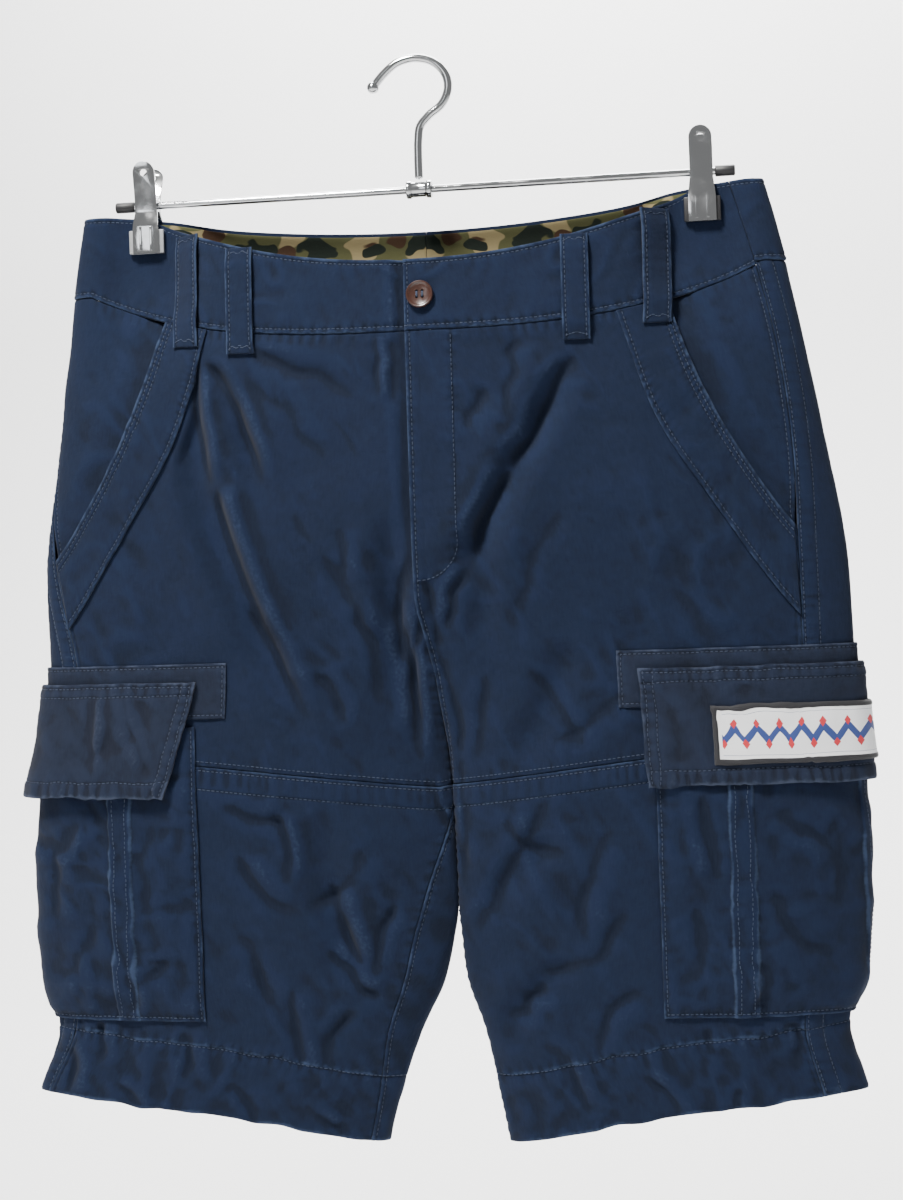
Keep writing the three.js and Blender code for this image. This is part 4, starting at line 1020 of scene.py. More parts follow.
def panel_grid(side, start, end, top, bottom, step, across=(), ahead=(), down=(), up=(), hold=30):
    """Places between two lengths, which vary with height, and two edges, which vary with the distance from
    the middle. across and ahead mark distances from the start and the end, down and up ones from the top and
    the bottom."""
    middle = float((top(150.0) + bottom(150.0)) / 2)
    width = abs(float(end(middle) - start(middle)))
    height = float(top(150.0) - bottom(150.0))
    cols = spread(width, step, across, ahead)[None]
    rows = spread(height, step, down, up)[:, None]
    way = np.sign(float(end(middle) - start(middle)))
    z = np.broadcast_to(top(150.0) - rows, (len(rows), cols.shape[1])).astype(float)
    for _ in range(6):
        first, last = start(z), end(z)
        along = first + way * anchored(cols, width, np.abs(last - first), hold)
        s, a = locate(side, along, z)
        x = np.abs(skin(s, a, z, False)[..., 0])
        upper, lower = top(x), bottom(x)
        z = upper - anchored(rows, height, upper - lower, hold)
    return SimpleNamespace(side=side, along=along, z=z, x=x, cols=cols[0], rows=rows[:, 0], top=upper - z,
                           bottom=z - lower, start=np.abs(along - start(z)), end=np.abs(end(z) - along))


def puckers(d, s, offset, seed, amount=0.3, period=7.5):
    """Small ripples across a seam that is sewn down at an offset from its edge."""
    amount = 1.7 * amount
    wave = np.sin(2 * math.pi * (s / period + 0.5 * noise(s, 0, 19, seed)))
    uneven = 0.65 + 0.35 * noise(s, 0, 37, seed + 1)
    return amount * wave * uneven * bell(np.maximum(0, d - offset * 0.6) / 4.5) * smooth(d / 1.5 + 0.2)


def groove(d, offset, depth=0.32):
    return -1.5 * depth * bell((d - offset) / 0.85)


def seam(d, s, offsets, seed, amount=0.3, welt=0.3):
    """A sewn edge: raised between the edge and its last row of stitches, grooved at each row and puckered."""
    out = welt * smooth((max(offsets) + 0.4 - d) / 1.4) + puckers(d, s, max(offsets), seed, amount)
    for offset in offsets:
        out = out + groove(d, offset)
    return out


def worn(d, s, seed, reach=1.3, amount=0.75):
    return amount * bell(d / reach) * (0.6 + 0.5 * noise(s, 0, 9, seed))


def sew(node, edge, offset, trim=(0, 0), lift=0.12):
    """A row of stitches along a piece's edge, at an offset from it and clear of both ends by trim."""
    made = pieces[node]
    g = made.g
    if edge in ("top", "bottom"):
        places = g.rows if edge == "top" else g.rows[-1] - g.rows
        i = int(np.argmin(np.abs(places - offset)))
        points, normal, run = made.outer[i], made.normal[i], g.start[i]
        other = g.end[i]
    else:
        places = g.cols if edge == "start" else g.cols[-1] - g.cols
        i = int(np.argmin(np.abs(places - offset)))
        points, normal, run = made.outer[:, i], made.normal[:, i], g.top[:, i]
        other = g.bottom[:, i]
    keep = (run >= trim[0]) & (other >= trim[1])
    stitches.append((points + normal * lift)[keep])


def sew_rows(node, *rows):
    """Rows of stitches, each by its edge, its offset and its trim."""
    for row in rows:
        sew(node, *row)


def sew_on(side, along, z, lift):
    """A row of stitches through places on the cloth."""
    stitches.append(lifted(side, np.asarray(along, float), np.asarray(z, float), np.asarray(lift, float)))


def bar_tack(side, along, z, lift, wide=13, turns=5):
    """A short dense zigzag across a belt loop's end."""
    t = np.linspace(-0.5, 0.5, 2 * turns + 1)
    zig = np.where(np.arange(2 * turns + 1) % 2, 0.9, -0.9)
    sew_on(side, along + t * wide, z + zig, lift)


def hem_relief(g, seed):
    """The turned-up hem, crumpled and pulled aslant between its fold and its stitching."""
    depth = smooth(g.bottom / 5) * smooth((HEM_DEPTH - 2 - g.bottom) / 8)
    slant = depth * crumple(g.along + 0.9 * g.bottom, 0.3 * g.bottom, 10, seed + 4)
    clear = smooth(g.start / 8) * smooth(g.end / 8)
    broad, small = crumple(g.along, 0.6 * g.z, 19, seed), crumple(g.along, g.z, 9, seed + 2)
    return clear * (1.1 * slant + 2.4 * broad + 0.8 * small)


def make_upper_front(name, side):
    meets = meets_seam(side, opening_at)

    def upper_end(z):
        edge = along_at(side, opening_at(side, z), z)
        return np.maximum(outseam(side, z) + GAP / 2, np.where(z > meets, edge, -1e3))

    node = f"front_upper_{name}"
    start_rows = (3, 9) if side > 0 else (5,)
    g = panel_grid(side, lambda z: front_start(side, z), upper_end, lambda x: band_bottom_front(x) - GAP / 2,
                   lambda x: thigh_seam(x) + GAP, 2.05, across=start_rows, ahead=(3,), down=(4,), up=(3,))
    outer = under_fly(side, g.along, g.z, CLOTH)
    raised = puckers(g.top, g.along, 5, 1, 0.28) + puckers(g.bottom, g.along, 3, 2, 0.26)
    if side > 0:
        fly = lap(g.z)
        raised = raised + fly * seam(g.start, g.z, (3,), 3, 0.22, 0.35) + fly * groove(g.start, 9, 0.1)
        raised = raised + (1 - fly) * (groove(g.start, 3, 0.35) + puckers(g.start, g.z, 3, 5, 0.25))
        stitch = np.abs(g.start - j_line(g.z))
        curved = 0.28 * smooth((j_line(g.z) + 0.3 - g.start) / 2.2) - 0.35 * bell(stitch)
        for relief in (curved, puckers(stitch, g.z, 1, 6, 0.2)):
            raised = raised + np.where(g.z > J_TURN - J_RADIUS, relief, 0)
    else:
        raised = raised + (1 - lap(g.z)) * puckers(g.start, g.z, 4, 5, 0.22)
    below = smooth((meets - g.z) / 8)
    raised = raised + below * seam(g.end, g.z, (3,), 7, 0.25, 0.2)
    wear = worn(g.start, g.z, 8) * (side > 0) + 0.5 * worn(g.bottom, g.along, 9)
    wear = wear + below * worn(g.end, g.z, 10)
    wear = wear + 0.5 * worn(np.abs(g.top - 4), g.along, 13, 2.0, 0.5)
    cloth(node, g, (outer, outer - CLOTH), (raised, wear), NAVY, [f"waistband_front_{name}_cloth"])
    if side > 0:
        sew(node, "start", 3, (2, 2))
        z = np.arange(-188.0, J_TURN, -1.5)
        theta = np.linspace(0, math.pi / 2, 14)
        curve_z = np.concatenate([z, J_TURN - J_RADIUS * np.sin(theta)])
        sew_on(side, front_start(side, curve_z) - j_line(curve_z), curve_z, 0.32)
    sew(node, "bottom", 3, (4, 4))


def make_lower_front(name, side):
    node = f"front_lower_{name}"
    g = panel_grid(side, lambda z: front_length(side, z) - inseam(side, z) - GAP / 2,
                   seam_side(side, 1), lambda x: thigh_seam(x) - GAP / 2, hem_edge, 2.1,
                   across=(2,), ahead=(3,), down=(2.5, 15), up=(HEM_STITCH, 2))
    hem = smooth((HEM_DEPTH + 0.8 - g.bottom) / 1.2)
    raised = seam(g.top, g.along, (2.5, 15), 11, 0.46, 0.42) + groove(g.bottom, HEM_STITCH, 0.4)
    raised = raised + puckers(np.abs(g.bottom - HEM_STITCH), g.along, 1, 12, 0.5) + 0.25 * hem
    raised = raised + hem * hem_relief(g, 15)
    raised = raised + puckers(g.start, g.z, 2, 16, 0.3) + seam(g.end, g.z, (3,), 17, 0.28, 0.2)
    wear = worn(g.top, g.along, 18) + worn(g.bottom, g.along, 19, 2.2, 0.95) + 0.7 * worn(g.end, g.z, 20)
    wear = wear + worn(np.abs(g.top - 15), g.along, 21, 1.2, 0.5)
    wear = wear + worn(np.abs(g.bottom - HEM_DEPTH), g.along, 22, 1.4, 0.6)
    inner = np.where(g.bottom < HEM_DEPTH, -DOUBLE, -CLOTH)
    cloth(node, g, (0, inner), (raised, wear), NAVY, [f"front_upper_{name}_cloth"])
    sew_rows(node, ("top", 2.5, (1, 3)), ("top", 15, (1, 3)), ("bottom", HEM_STITCH, (1, 1)))


def j_line(z):
    """Distance of the fly's curved stitching from the fly's edge."""
    q = np.clip((J_TURN - z) / J_RADIUS, 0, 1)
    return J_NEAR + J_RADIUS * np.sqrt(np.maximum(0, 1 - q * q))


def make_back(name, side):
    node = f"back_{name}"
    g = panel_grid(side, lambda z: GAP / 2 - back_length(side, z) - inseam(side, z),
                   seam_side(side, -1), lambda x: band_bottom_back(x) - GAP / 2, hem_edge, 3.0,
                   across=(3,), ahead=(2, 12), down=(4,), up=(HEM_STITCH,))
    hem = smooth((HEM_DEPTH + 0.8 - g.bottom) / 1.2)
    raised = puckers(g.top, g.along, 5, 31, 0.3) + groove(g.bottom, HEM_STITCH, 0.4) + 0.25 * hem
    raised = raised + puckers(np.abs(g.bottom - HEM_STITCH), g.along, 1, 32, 0.34)
    raised = raised + hem * hem_relief(g, 33) + seam(g.end, g.z, (2, 12), 34, 0.3, 0.42)
    raised = raised + seam(g.start, g.z, (3,), 35, 0.28, 0.25)
    wear = worn(g.end, g.z, 36) + worn(np.abs(g.end - 12), g.z, 37, 1.2, 0.55) + worn(g.start, g.z, 38)
    wear = wear + worn(g.bottom, g.along, 39, 2.2, 0.95)
    inner = np.where(g.bottom < HEM_DEPTH, -DOUBLE, -CLOTH)
    cloth(node, g, (0, inner), (raised, wear), NAVY, [f"waistband_back_{name}_cloth"])
    sew_rows(node, ("end", 2, (2, 2)), ("end", 12, (2, 2)), ("start", 3, (3, 2)),
                   ("bottom", HEM_STITCH, (1, 1)))


def make_waist(name, side):
    for face in ("front", "back"):
        node = f"waistband_{face}_{name}"
        if face == "front":
            start, end = (lambda z: front_start(side, z)), seam_side(side, 1)
            top, bottom = band_top_front, band_bottom_front
        else:
            start, end = back_middle(side), seam_side(side, -1)
            top, bottom = band_top_back, band_bottom_back
        g = panel_grid(side, start, end, top, lambda x: bottom(x) + GAP / 2, 2.0, across=(2.5,), ahead=(),
                       down=(3,), up=(3,), hold=12)
        outer = BAND_PROUD + (under_fly(side, g.along, g.z, DOUBLE) if face == "front" else 0)
        raised = seam(g.top, g.along, (3,), 41, 0.22, 0.1) + seam(g.bottom, g.along, (3,), 42, 0.36, 0.25)
        inside = smooth(g.top / 6) * smooth(g.bottom / 6)
        uneven = 0.5 * noise(g.along, g.z, 21, 43) + 1.5 * crumple(g.along + 0.5 * g.z, g.z, 15, 44)
        raised = raised + inside * uneven
        raised = raised * (1 - 0.85 * smooth((pinch(g.x, g.z) - 0.8) / 0.15))
        wear = worn(g.top, g.along, 45, 1.8, 0.9) + worn(g.bottom, g.along, 46, 1.4, 0.7)
        if face == "front" and side > 0:
            raised = raised + groove(g.start, 2.5, 0.25)
            wear = wear + worn(g.start, g.z, 47)
        clips = [f"clip_{way}_{name}_rounded" for way in ("front", "back")]
        cloth(node, g, (outer, outer - DOUBLE), (raised, wear), NAVY, clips)
        sew_rows(node, ("top", 3, (1, 1)), ("bottom", 3, (1, 1)))
        if face == "front" and side > 0:
            sew(node, "start", 2.5, (3, 3))


def make_facing(name, side):
    node = f"back_facing_{name}"
    g = panel_grid(side, back_middle(side), flat(FACING_END), lambda x: band_top_back(x) - 2.5,
                   lambda x: band_bottom_back(x) + 4, 2.8, down=(2.5,), hold=10)
    top = BAND_PROUD - DOUBLE - 4 * GAP
    raised = 0.2 * noise(g.along, g.z, 12, 51) + puckers(g.top, g.along, 3, 52, 0.2)
    cloth(node, g, (top, top - FACING_THICK), (raised, 0 * g.z), CAMO,
          [f"waistband_back_{name}_cloth"])


def make_hip(name, side):
    node = f"hip_panel_{name}"
    meets = meets_seam(side, opening_at)
    g = panel_grid(side, lambda z: along_at(side, opening_at(side, z) - HIP_UNDER, z), seam_side(side, 1),
                   lambda x: band_bottom_front(x) - GAP / 2, flat(meets + 2), 2.2, ahead=(3,), down=(4,),
                   hold=8)
    out = along_at(side, opening_at(side, g.z), g.z) - g.along
    tuck = -(CLOTH + 1.5) * (1 - smooth((out - 2) / 24))
    raised = puckers(g.top, g.along, 5, 61, 0.25) + seam(g.end, g.z, (3,), 62, 0.25, 0.2)
    raised = raised + 0.5 * noise(g.along, g.z, 26, 63) * smooth(out / 14) * smooth(g.end / 6)
    cloth(node, g, (tuck, tuck - CLOTH), (raised, 0.7 * worn(g.end, g.z, 64)), NAVY,
          [f"waistband_front_{name}_cloth"])
    sew(node, "end", 3, (3, 3))


def make_trim(name, side):
    node = f"pocket_trim_{name}"
    ends = [meets_seam(side, edge) for edge in (opening_at, trim_at)]
    tops = [float(band_bottom_front(edge(side, -165.0))) - GAP for edge in (opening_at, trim_at)]
    cols, rows = spread(TRIM_WIDE, 2.0, (3, 6), (3,)), spread(TRIM_LONG, 2.2)
    u, v = (cols / TRIM_WIDE)[None], (rows / TRIM_LONG)[:, None]
    z0, z1 = lerp(tops[0], ends[0] + 1, v), lerp(tops[1], ends[1] + 1, v)
    z = lerp(z0, z1, u)
    x = lerp(opening_at(side, z0) - 0.6, trim_at(side, z1), u)
    along = along_at(side, x, z)
    zero = 0 * z
    g = SimpleNamespace(side=side, along=along, z=z, x=x, cols=cols, rows=rows,
                        start=cols[None] + zero, end=TRIM_WIDE - cols[None] + zero,
                        top=rows[:, None] + zero, bottom=TRIM_LONG - rows[:, None] + zero)
    raised = seam(g.start, g.top, (3, 6), 65, 0.24, 0.3) + seam(g.end, g.top, (3,), 66, 0.28, 0.2)
    raised = raised + 0.3 * noise(g.start, g.top, 15, 67)
    wear = worn(g.start, g.top, 68, 1.8, 1.0) + worn(g.end, g.top, 69, 1.2, 0.7)
    cloth(node, g, (2.1, 0.8), (raised, wear), NAVY, [f"front_upper_{name}_cloth"])
    sew_rows(node, ("start", 3, (2, 3)), ("start", 6, (2, 3)), ("end", 3, (2, 3)))


def below_pocket(name):
    return [f"{part}_{name}_cloth" for part in ("front_upper", "front_lower", "back")]


def pocket_end(side):
    return float(pocket_start(side, POCKET_TOP)) - POCKET_WIDTH


def make_pocket(name, side):
    node = f"cargo_pocket_{name}"
    g = panel_grid(side, lambda z: pocket_start(side, z), lambda z: pocket_start(side, z) - POCKET_WIDTH,
                   flat(POCKET_TOP), flat(POCKET_BOTTOM), 2.0, across=(2.5, 46, 61), ahead=(2.5, 31, 46),
                   up=(2.5,), hold=62)
    u, v = g.start / POCKET_WIDTH, g.top / (POCKET_TOP - POCKET_BOTTOM)
    slack = POCKET_BULGE * np.sin(math.pi * np.clip(u, 0, 1)) ** 0.5
    slack = slack * smooth(v / 0.5) * smooth((1 - v) / 0.14)
    inner = nest(g.along) + 1.6 * GAP + slack
    loose = smooth(g.start / 9) * smooth(g.end / 9) * smooth(g.bottom / 9)
    creased = CREASE_MAP[f"pocket_{name}"].at(g.along, g.z) + 1.1 * noise(g.along, g.z, 30, 71)
    creased = creased + 2.0 * crumple(g.along, 0.8 * g.z, 24, 72 + side)
    creased = creased + 1.3 * crumple(g.along, g.z, 11, 82 + side)
    raised = loose * (np.maximum(-1.7, creased) + 0.9)
    wear = 0 * g.z
    for at in PLEAT_AT:
        inside = smooth((g.start - at + 0.5) / 0.9) * smooth((at + PLEAT_WIDTH + 0.5 - g.start) / 0.9)
        raised = raised + CLOTH * inside
        for line in (at, at + PLEAT_WIDTH):
            wear = wear + worn(np.abs(g.start - line), g.z, 73 + at + int(line), 1.1, 0.85)
            raised = raised + 0.22 * noise(g.z, 0, 9, 74 + at) * bell((g.start - line) / 3)
    raised = raised + seam(g.start, g.z, (2.5,), 75, 0.24, 0.2) + seam(g.end, g.z, (2.5,), 76, 0.24, 0.2)
    raised = raised + seam(g.bottom, g.along, (2.5,), 77, 0.34, 0.2)
    wear = wear + worn(g.start, g.z, 78) + worn(g.end, g.z, 79) + worn(g.bottom, g.along, 80)
    cloth(node, g, (inner + CLOTH, inner), (raised, wear), NAVY, below_pocket(name))
    sew_rows(node, ("start", 2.5, (2, 2)), ("end", 2.5, (2, 2)), ("bottom", 2.5, (2, 2)))
    for mark in PLEAT_AT:
        for line in (mark + 2.5, mark + PLEAT_WIDTH - 2.5):
            sew(node, "start", line, (46, 3), 0.1)


def make_flap_band(name, side):
    node = f"flap_band_{name}"
    start = float(pocket_start(side, BAND_TOP)) + BAND_OVER
    g = panel_grid(side, flat(start), flat(pocket_end(side)), flat(BAND_TOP), flat(BAND_BOTTOM), 2.0,
                   across=(2.5,), down=(2.5,), up=(2.5,), hold=8)
    inner = nest(g.along) + 0.2
    raised = seam(g.top, g.along, (2.5,), 81, 0.2, 0.15) + seam(g.start, g.z, (2.5,), 82, 0.2, 0.15)
    raised = raised + groove(g.bottom, 2.5) + 0.2 * noise(g.along, g.z, 14, 83)
    wear = worn(g.start, g.z, 84) + worn(g.top, g.along, 85)
    cloth(node, g, (inner + CLOTH, inner), (raised, wear), FLAP_NAVY, below_pocket(name))
    sew_rows(node, ("start", 2.5, (2, 2)), ("top", 2.5, (2, 2)), ("bottom", 2.5, (2, 2)))


def make_flap(name, side):
    node = f"flap_{name}"
    slant = FLAP_SLANT[name]
    first, last = float(along_at(side, FLAP_FRONT[name], FLAP_TOP)), pocket_end(side) - FLAP_OVER

    def share(z):
        return (FLAP_TOP - z) / (FLAP_TOP - FLAP_BOTTOM)

    g = panel_grid(side, lambda z: first - slant * share(z), lambda z: last - slant * share(z),
                   flat(FLAP_TOP), flat(FLAP_BOTTOM), 1.9, across=(3, 9), ahead=(3, 9), down=(3, 9), up=(10,),
                   hold=14)
    inner = flap_lift(side, g.along, share(g.z)) + nest(g.along) - GAP
    raised = seam(g.top, g.along, (3, 9), 86, 0.34, 0.3) + seam(g.bottom, g.along, (10,), 87, 0.4, 0.25)
    raised = raised + seam(g.start, g.z, (3, 9), 88, 0.24, 0.25) + seam(g.end, g.z, (3, 9), 89, 0.24, 0.25)
    loose = smooth(g.start / 10) * smooth(g.end / 10) * smooth(g.bottom / 10) * smooth(g.top / 10)
    creased = CREASE_MAP[f"flap_{name}"].at(g.along, g.z) + 0.5 * noise(g.along, g.z, 24, 90)
    raised = raised + loose * (np.maximum(-0.9, creased + 1.3 * crumple(g.along, g.z, 17, 91)) + 0.3)
    wear = worn(g.start, g.z, 91, 1.8, 0.9) + worn(g.end, g.z, 92, 1.8, 0.9)
    wear = wear + worn(g.bottom, g.along, 93, 2.0, 0.9) + worn(g.top, g.along, 94, 1.5, 0.8)
    cloth(node, g, (inner + FLAP_THICK, inner), (raised, wear), FLAP_NAVY,
          [f"flap_band_{name}_cloth"])
    for offset in (3, 9):
        sew_rows(node, ("start", offset, (3, 3)), ("end", offset, (3, 3)), ("top", offset, (3, 3)))
    sew(node, "bottom", 10, (3, 3))


def make_patch():
    g = panel_grid(1, flat(PATCH_FROM), flat(PATCH_TO), flat(PATCH_TOP), flat(PATCH_BOTTOM), 1.6, across=(3,),
                   ahead=(3,), down=(3,), up=(3,), hold=8)
    lift = flap_lift(1, g.along, (FLAP_TOP - g.z) / (FLAP_TOP - FLAP_BOTTOM))
    inner = lift + FLAP_THICK + 2 * nest(g.along)
    edge = np.minimum(np.minimum(g.start, g.end), np.minimum(g.top, g.bottom))
    round_edge = 0.55 * bell((edge - 1.8) / 1.5)
    ribs = 0.08 * np.sin(2 * math.pi * (g.along + g.z) / 1.7) * (edge < PATCH_BORDER)
    made = cloth("patch", g, (inner + PATCH_THICK, inner), (round_edge + ribs, 0 * g.z), PATCH,
                 ["flap_right_cloth"])
    layer = made.piece.data.uv_layers.new(name="design")
    u = g.start / (g.start + g.end)
    v = g.bottom / (g.bottom + g.top)
    uv = np.stack([u, v], axis=-1).reshape(-1, 2)
    index = np.zeros(len(made.piece.data.loops), int)
    made.piece.data.loops.foreach_get("vertex_index", index)
    layer.data.foreach_set("uv", np.concatenate([uv, uv])[index].ravel())


LOOPS = [("belt_loop_front_left", "front", -118, 0), ("belt_loop_front_right", "front", 104, 0),
         ("belt_loop_side_left", "front", -156, 1.4), ("belt_loop_side_right", "front", 155, 1.5),
         ("belt_loop_back", "back", 0, 0)]


def make_loop(node, face, x, over):
    side = -1 if x < 0 else 1
    top = float((band_top_front if face == "front" else band_top_back)(x)) - 1
    bottom = float((band_bottom_front if face == "front" else band_bottom_back)(x)) - 15
    if face == "front":
        start, end = (lambda z, way=way: along_at(side, abs(x) + way * LOOP_HALF, z) for way in (-1, 1))
    else:
        start, end = (lambda z, way=way: way * LOOP_HALF - back_length(side, z) for way in (-1, 1))
    g = panel_grid(side, start, end, flat(top), flat(bottom), 1.4, across=(2.5,), ahead=(2.5,), hold=6)
    v = g.top / (top - bottom)
    clear = smooth(v / 0.16) * smooth((1 - v) / 0.2)
    inner = BAND_PROUD + 2 * GAP + LOOP_STAND * clear + over * smooth((v - 0.6) / 0.2)
    raised = seam(g.start, g.z, (2.5,), 95, 0.1, 0.15) + seam(g.end, g.z, (2.5,), 96, 0.1, 0.15)
    raised = raised + 0.25 * noise(g.along, g.z, 9, 97) * clear
    wear = worn(g.start, g.z, 98, 1.2, 1.0) + worn(g.end, g.z, 99, 1.2, 1.0)
    cloth(node, g, (inner + LOOP_THICK, inner), (raised, wear), NAVY,
          [f"waistband_{face}_{side_name(side)}_cloth"])
    sew_rows(node, ("start", 2.5, (2, 2)), ("end", 2.5, (2, 2)))
    for z in (top - 3.5, bottom + 4):
        middle = float((start(z) + end(z)) / 2)
        bar_tack(side, middle, z, BAND_PROUD + 2 * GAP + LOOP_THICK + over * (z < top - 20) + 0.35)


def ring_quads(ids):
    """Quads between the rings of a tube, from the numbers of its points."""
    nxt = np.roll(ids, -1, axis=1)
    return np.stack([ids[:-1].ravel(), nxt[:-1].ravel(), nxt[1:].ravel(), ids[1:].ravel()], axis=1)


def join_quads(name, grids, material):
    """One mesh object of several closed tubes, each a grid of rings."""
    verts, quads, base = [], [], 0
    for rings in grids:
        rows, cols = rings.shape[:2]
        ids = base + np.arange(rows * cols).reshape(rows, cols)
        quads.append(ring_quads(ids))
        verts.append(rings.reshape(-1, 3))
        base += rows * cols
    piece = make_mesh(name, np.concatenate(verts), np.concatenate(quads), material=material)
    bm = bmesh.new()
    bm.from_mesh(piece.data)
    bmesh.ops.remove_doubles(bm, verts=bm.verts, dist=1e-7)
    bmesh.ops.recalc_face_normals(bm, faces=bm.faces)
    bm.to_mesh(piece.data)
    bm.free()
    return piece


def tube(points, radii, sides=24):
    """Rings of a round tube along points, whose ends close to a point where the radius is nought."""
    points, radii = np.asarray(points, float), np.asarray(radii, float)
    along = np.gradient(points, axis=0)
    for k in np.flatnonzero(np.linalg.norm(along, axis=1) < 1e-9):
        away = points - points[0]
        along[k] = along[k - 1] if k else away[np.argmax(np.linalg.norm(away, axis=1) > 0)]
    along /= np.linalg.norm(along, axis=1, keepdims=True)
    side = np.cross(along[0], (0, 1, 0))
    if np.linalg.norm(side) < 0.1:
        side = np.cross(along[0], (0, 0, 1))
    out = []
    turn = np.linspace(0, 2 * math.pi, sides, endpoint=False)
    for p, d, r in zip(points, along, radii):
        side = side - d * (side @ d)
        side /= np.linalg.norm(side)
        other = np.cross(d, side)
        out.append(p + r * (np.cos(turn)[:, None] * side + np.sin(turn)[:, None] * other))
    return np.array(out)


def rounded_ends(length, radius, ease):
    """Places along a rod and its radii, with both ends rounded by ease."""
    t = np.linspace(0, math.pi / 2, 6)
    at = np.concatenate([ease * (1 - np.cos(t)), length - ease * (1 - np.cos(t[::-1]))])
    r = np.concatenate([radius - ease + ease * np.sin(t), radius - ease + ease * np.sin(t[::-1])])
    return np.concatenate([[0], at, [length]]), np.concatenate([[0], r, [0]])


HOOK = [(-29, -15), (-22, -7), (-12, 0.5), (0, 2.8), (12, -0.5), (20, -9), (21.5, -19), (17, -29), (8, -36),
        (2, -43), (0.4, -52), (0, -64), (0, -78.6)]
HOOK_RADIUS, BALL_RADIUS = 2.8, 4
BAR_Z, BAR_HALF = -85, 207


def make_hanger():
    path = spline(HOOK, 150)
    points = np.stack([path[:, 0], 0 * path[:, 0], path[:, 1]], axis=1)
    radii = np.full(len(points), HOOK_RADIUS)
    radii[-1] = 0
    points = np.vstack([points[:1], points])
    radii = np.concatenate([[0], radii])
    t = np.linspace(0, math.pi, 19)
    x, z = HOOK[0]
    ball = tube(np.stack([x - BALL_RADIUS * np.cos(t), 0 * t, z + 0 * t], axis=1), BALL_RADIUS * np.sin(t))
    hook = join_quads("hanger_hook_smooth", [tube(points, radii), ball], CHROME)
    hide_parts("hanger_hook")

    def rod(start, length, radius, ease):
        at, r = rounded_ends(length, radius, ease)
        return tube(np.stack([start + at, 0 * at, BAR_Z + 0 * at], axis=1), r, 32)

    bar = join_quads("hanger_bar_smooth", [rod(-BAR_HALF, 2 * BAR_HALF, 2.5, 0.5)], CHROME)
    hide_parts("hanger_bar")

    def turned(at, radii, sides):
        """A form turned about the bar, from places along the bar and the radius at each."""
        rings = tube(np.stack([np.linspace(0, 1, len(at)), 0 * at, 0 * at], axis=1), radii, sides)
        rings[..., 0] = at[:, None]
        rings[..., 2] += BAR_Z
        return rings

    at = np.array([-8.5, -8.5, -8.1, -7.2, -5.4, -4.9, -4.4, 4.4, 4.9, 5.4, 7.2, 8.1, 8.5, 8.5])
    hub = turned(at, [2.8, 5.3, 5.9, 6, 6, 5.3, 5.1, 5.1, 5.3, 6, 6, 5.9, 5.3, 2.8], 40)
    inside = hub[[0, -1]]
    hub = join_quads("hanger_hub_smooth", [np.concatenate([hub, inside[1:], inside[:1]])], CHROME)
    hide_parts("hanger_hub")
    for name, side in SIDES.items():
        first, last = BAR_HALF - 11, BAR_HALF + 2
        floor = BAR_HALF + 0.3
        at = np.array([floor, floor, first, first, first + 0.5, last - 1, last - 0.3, last, last])
        cap = turned(side * at, [0, 2.8, 2.8, 3.2, 3.6, 3.6, 3.3, 2.6, 0], 32)
        cap = join_quads(f"hanger_cap_{name}_smooth", [cap], RUBBER)
        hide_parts(f"hanger_cap_{name}")
        for part, material, slot in (("clip_front", CHROME, "chrome"), ("clip_back", CHROME, "chrome"),
                                     ("clip_pad_front", GREY_RUBBER if side < 0 else RUBBER, "rubber"),
                                     ("clip_pad_back", GREY_RUBBER if side < 0 else RUBBER, "rubber")):
            bevelled(f"{part}_{name}", material, BEVELS[slot])


def bevelled(node, material, width):
    """A CAD node's own form with rounded edges."""
    bm = bmesh.new()
    bm.from_mesh(bpy.data.objects[node].data)
    bm.transform(bpy.data.objects[node].matrix_world)
    bmesh.ops.remove_doubles(bm, verts=bm.verts, dist=1e-6)
    bmesh.ops.dissolve_limit(bm, angle_limit=math.radians(2), verts=bm.verts, edges=bm.edges)
    mesh = bpy.data.meshes.new(node + " rounded")
    bm.to_mesh(mesh)
    bm.free()
    rough = new_object("rough", mesh)
    bevel = rough.modifiers.new("bevel", "BEVEL")
    bevel.width, bevel.segments, bevel.limit_method = width * MM, 3, "ANGLE"
    bevel.angle_limit, bevel.use_clamp_overlap, bevel.harden_normals = math.radians(30), True, False
    done = with_modifiers(rough)
    bpy.data.objects.remove(rough)
    shade_smooth(done)
    done.set_sharp_from_angle(angle=math.radians(40))
    done.materials.clear()
    done.materials.append(material)
    piece = new_object(f"{node}_rounded", done)
    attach(piece, "root")
    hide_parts(node)


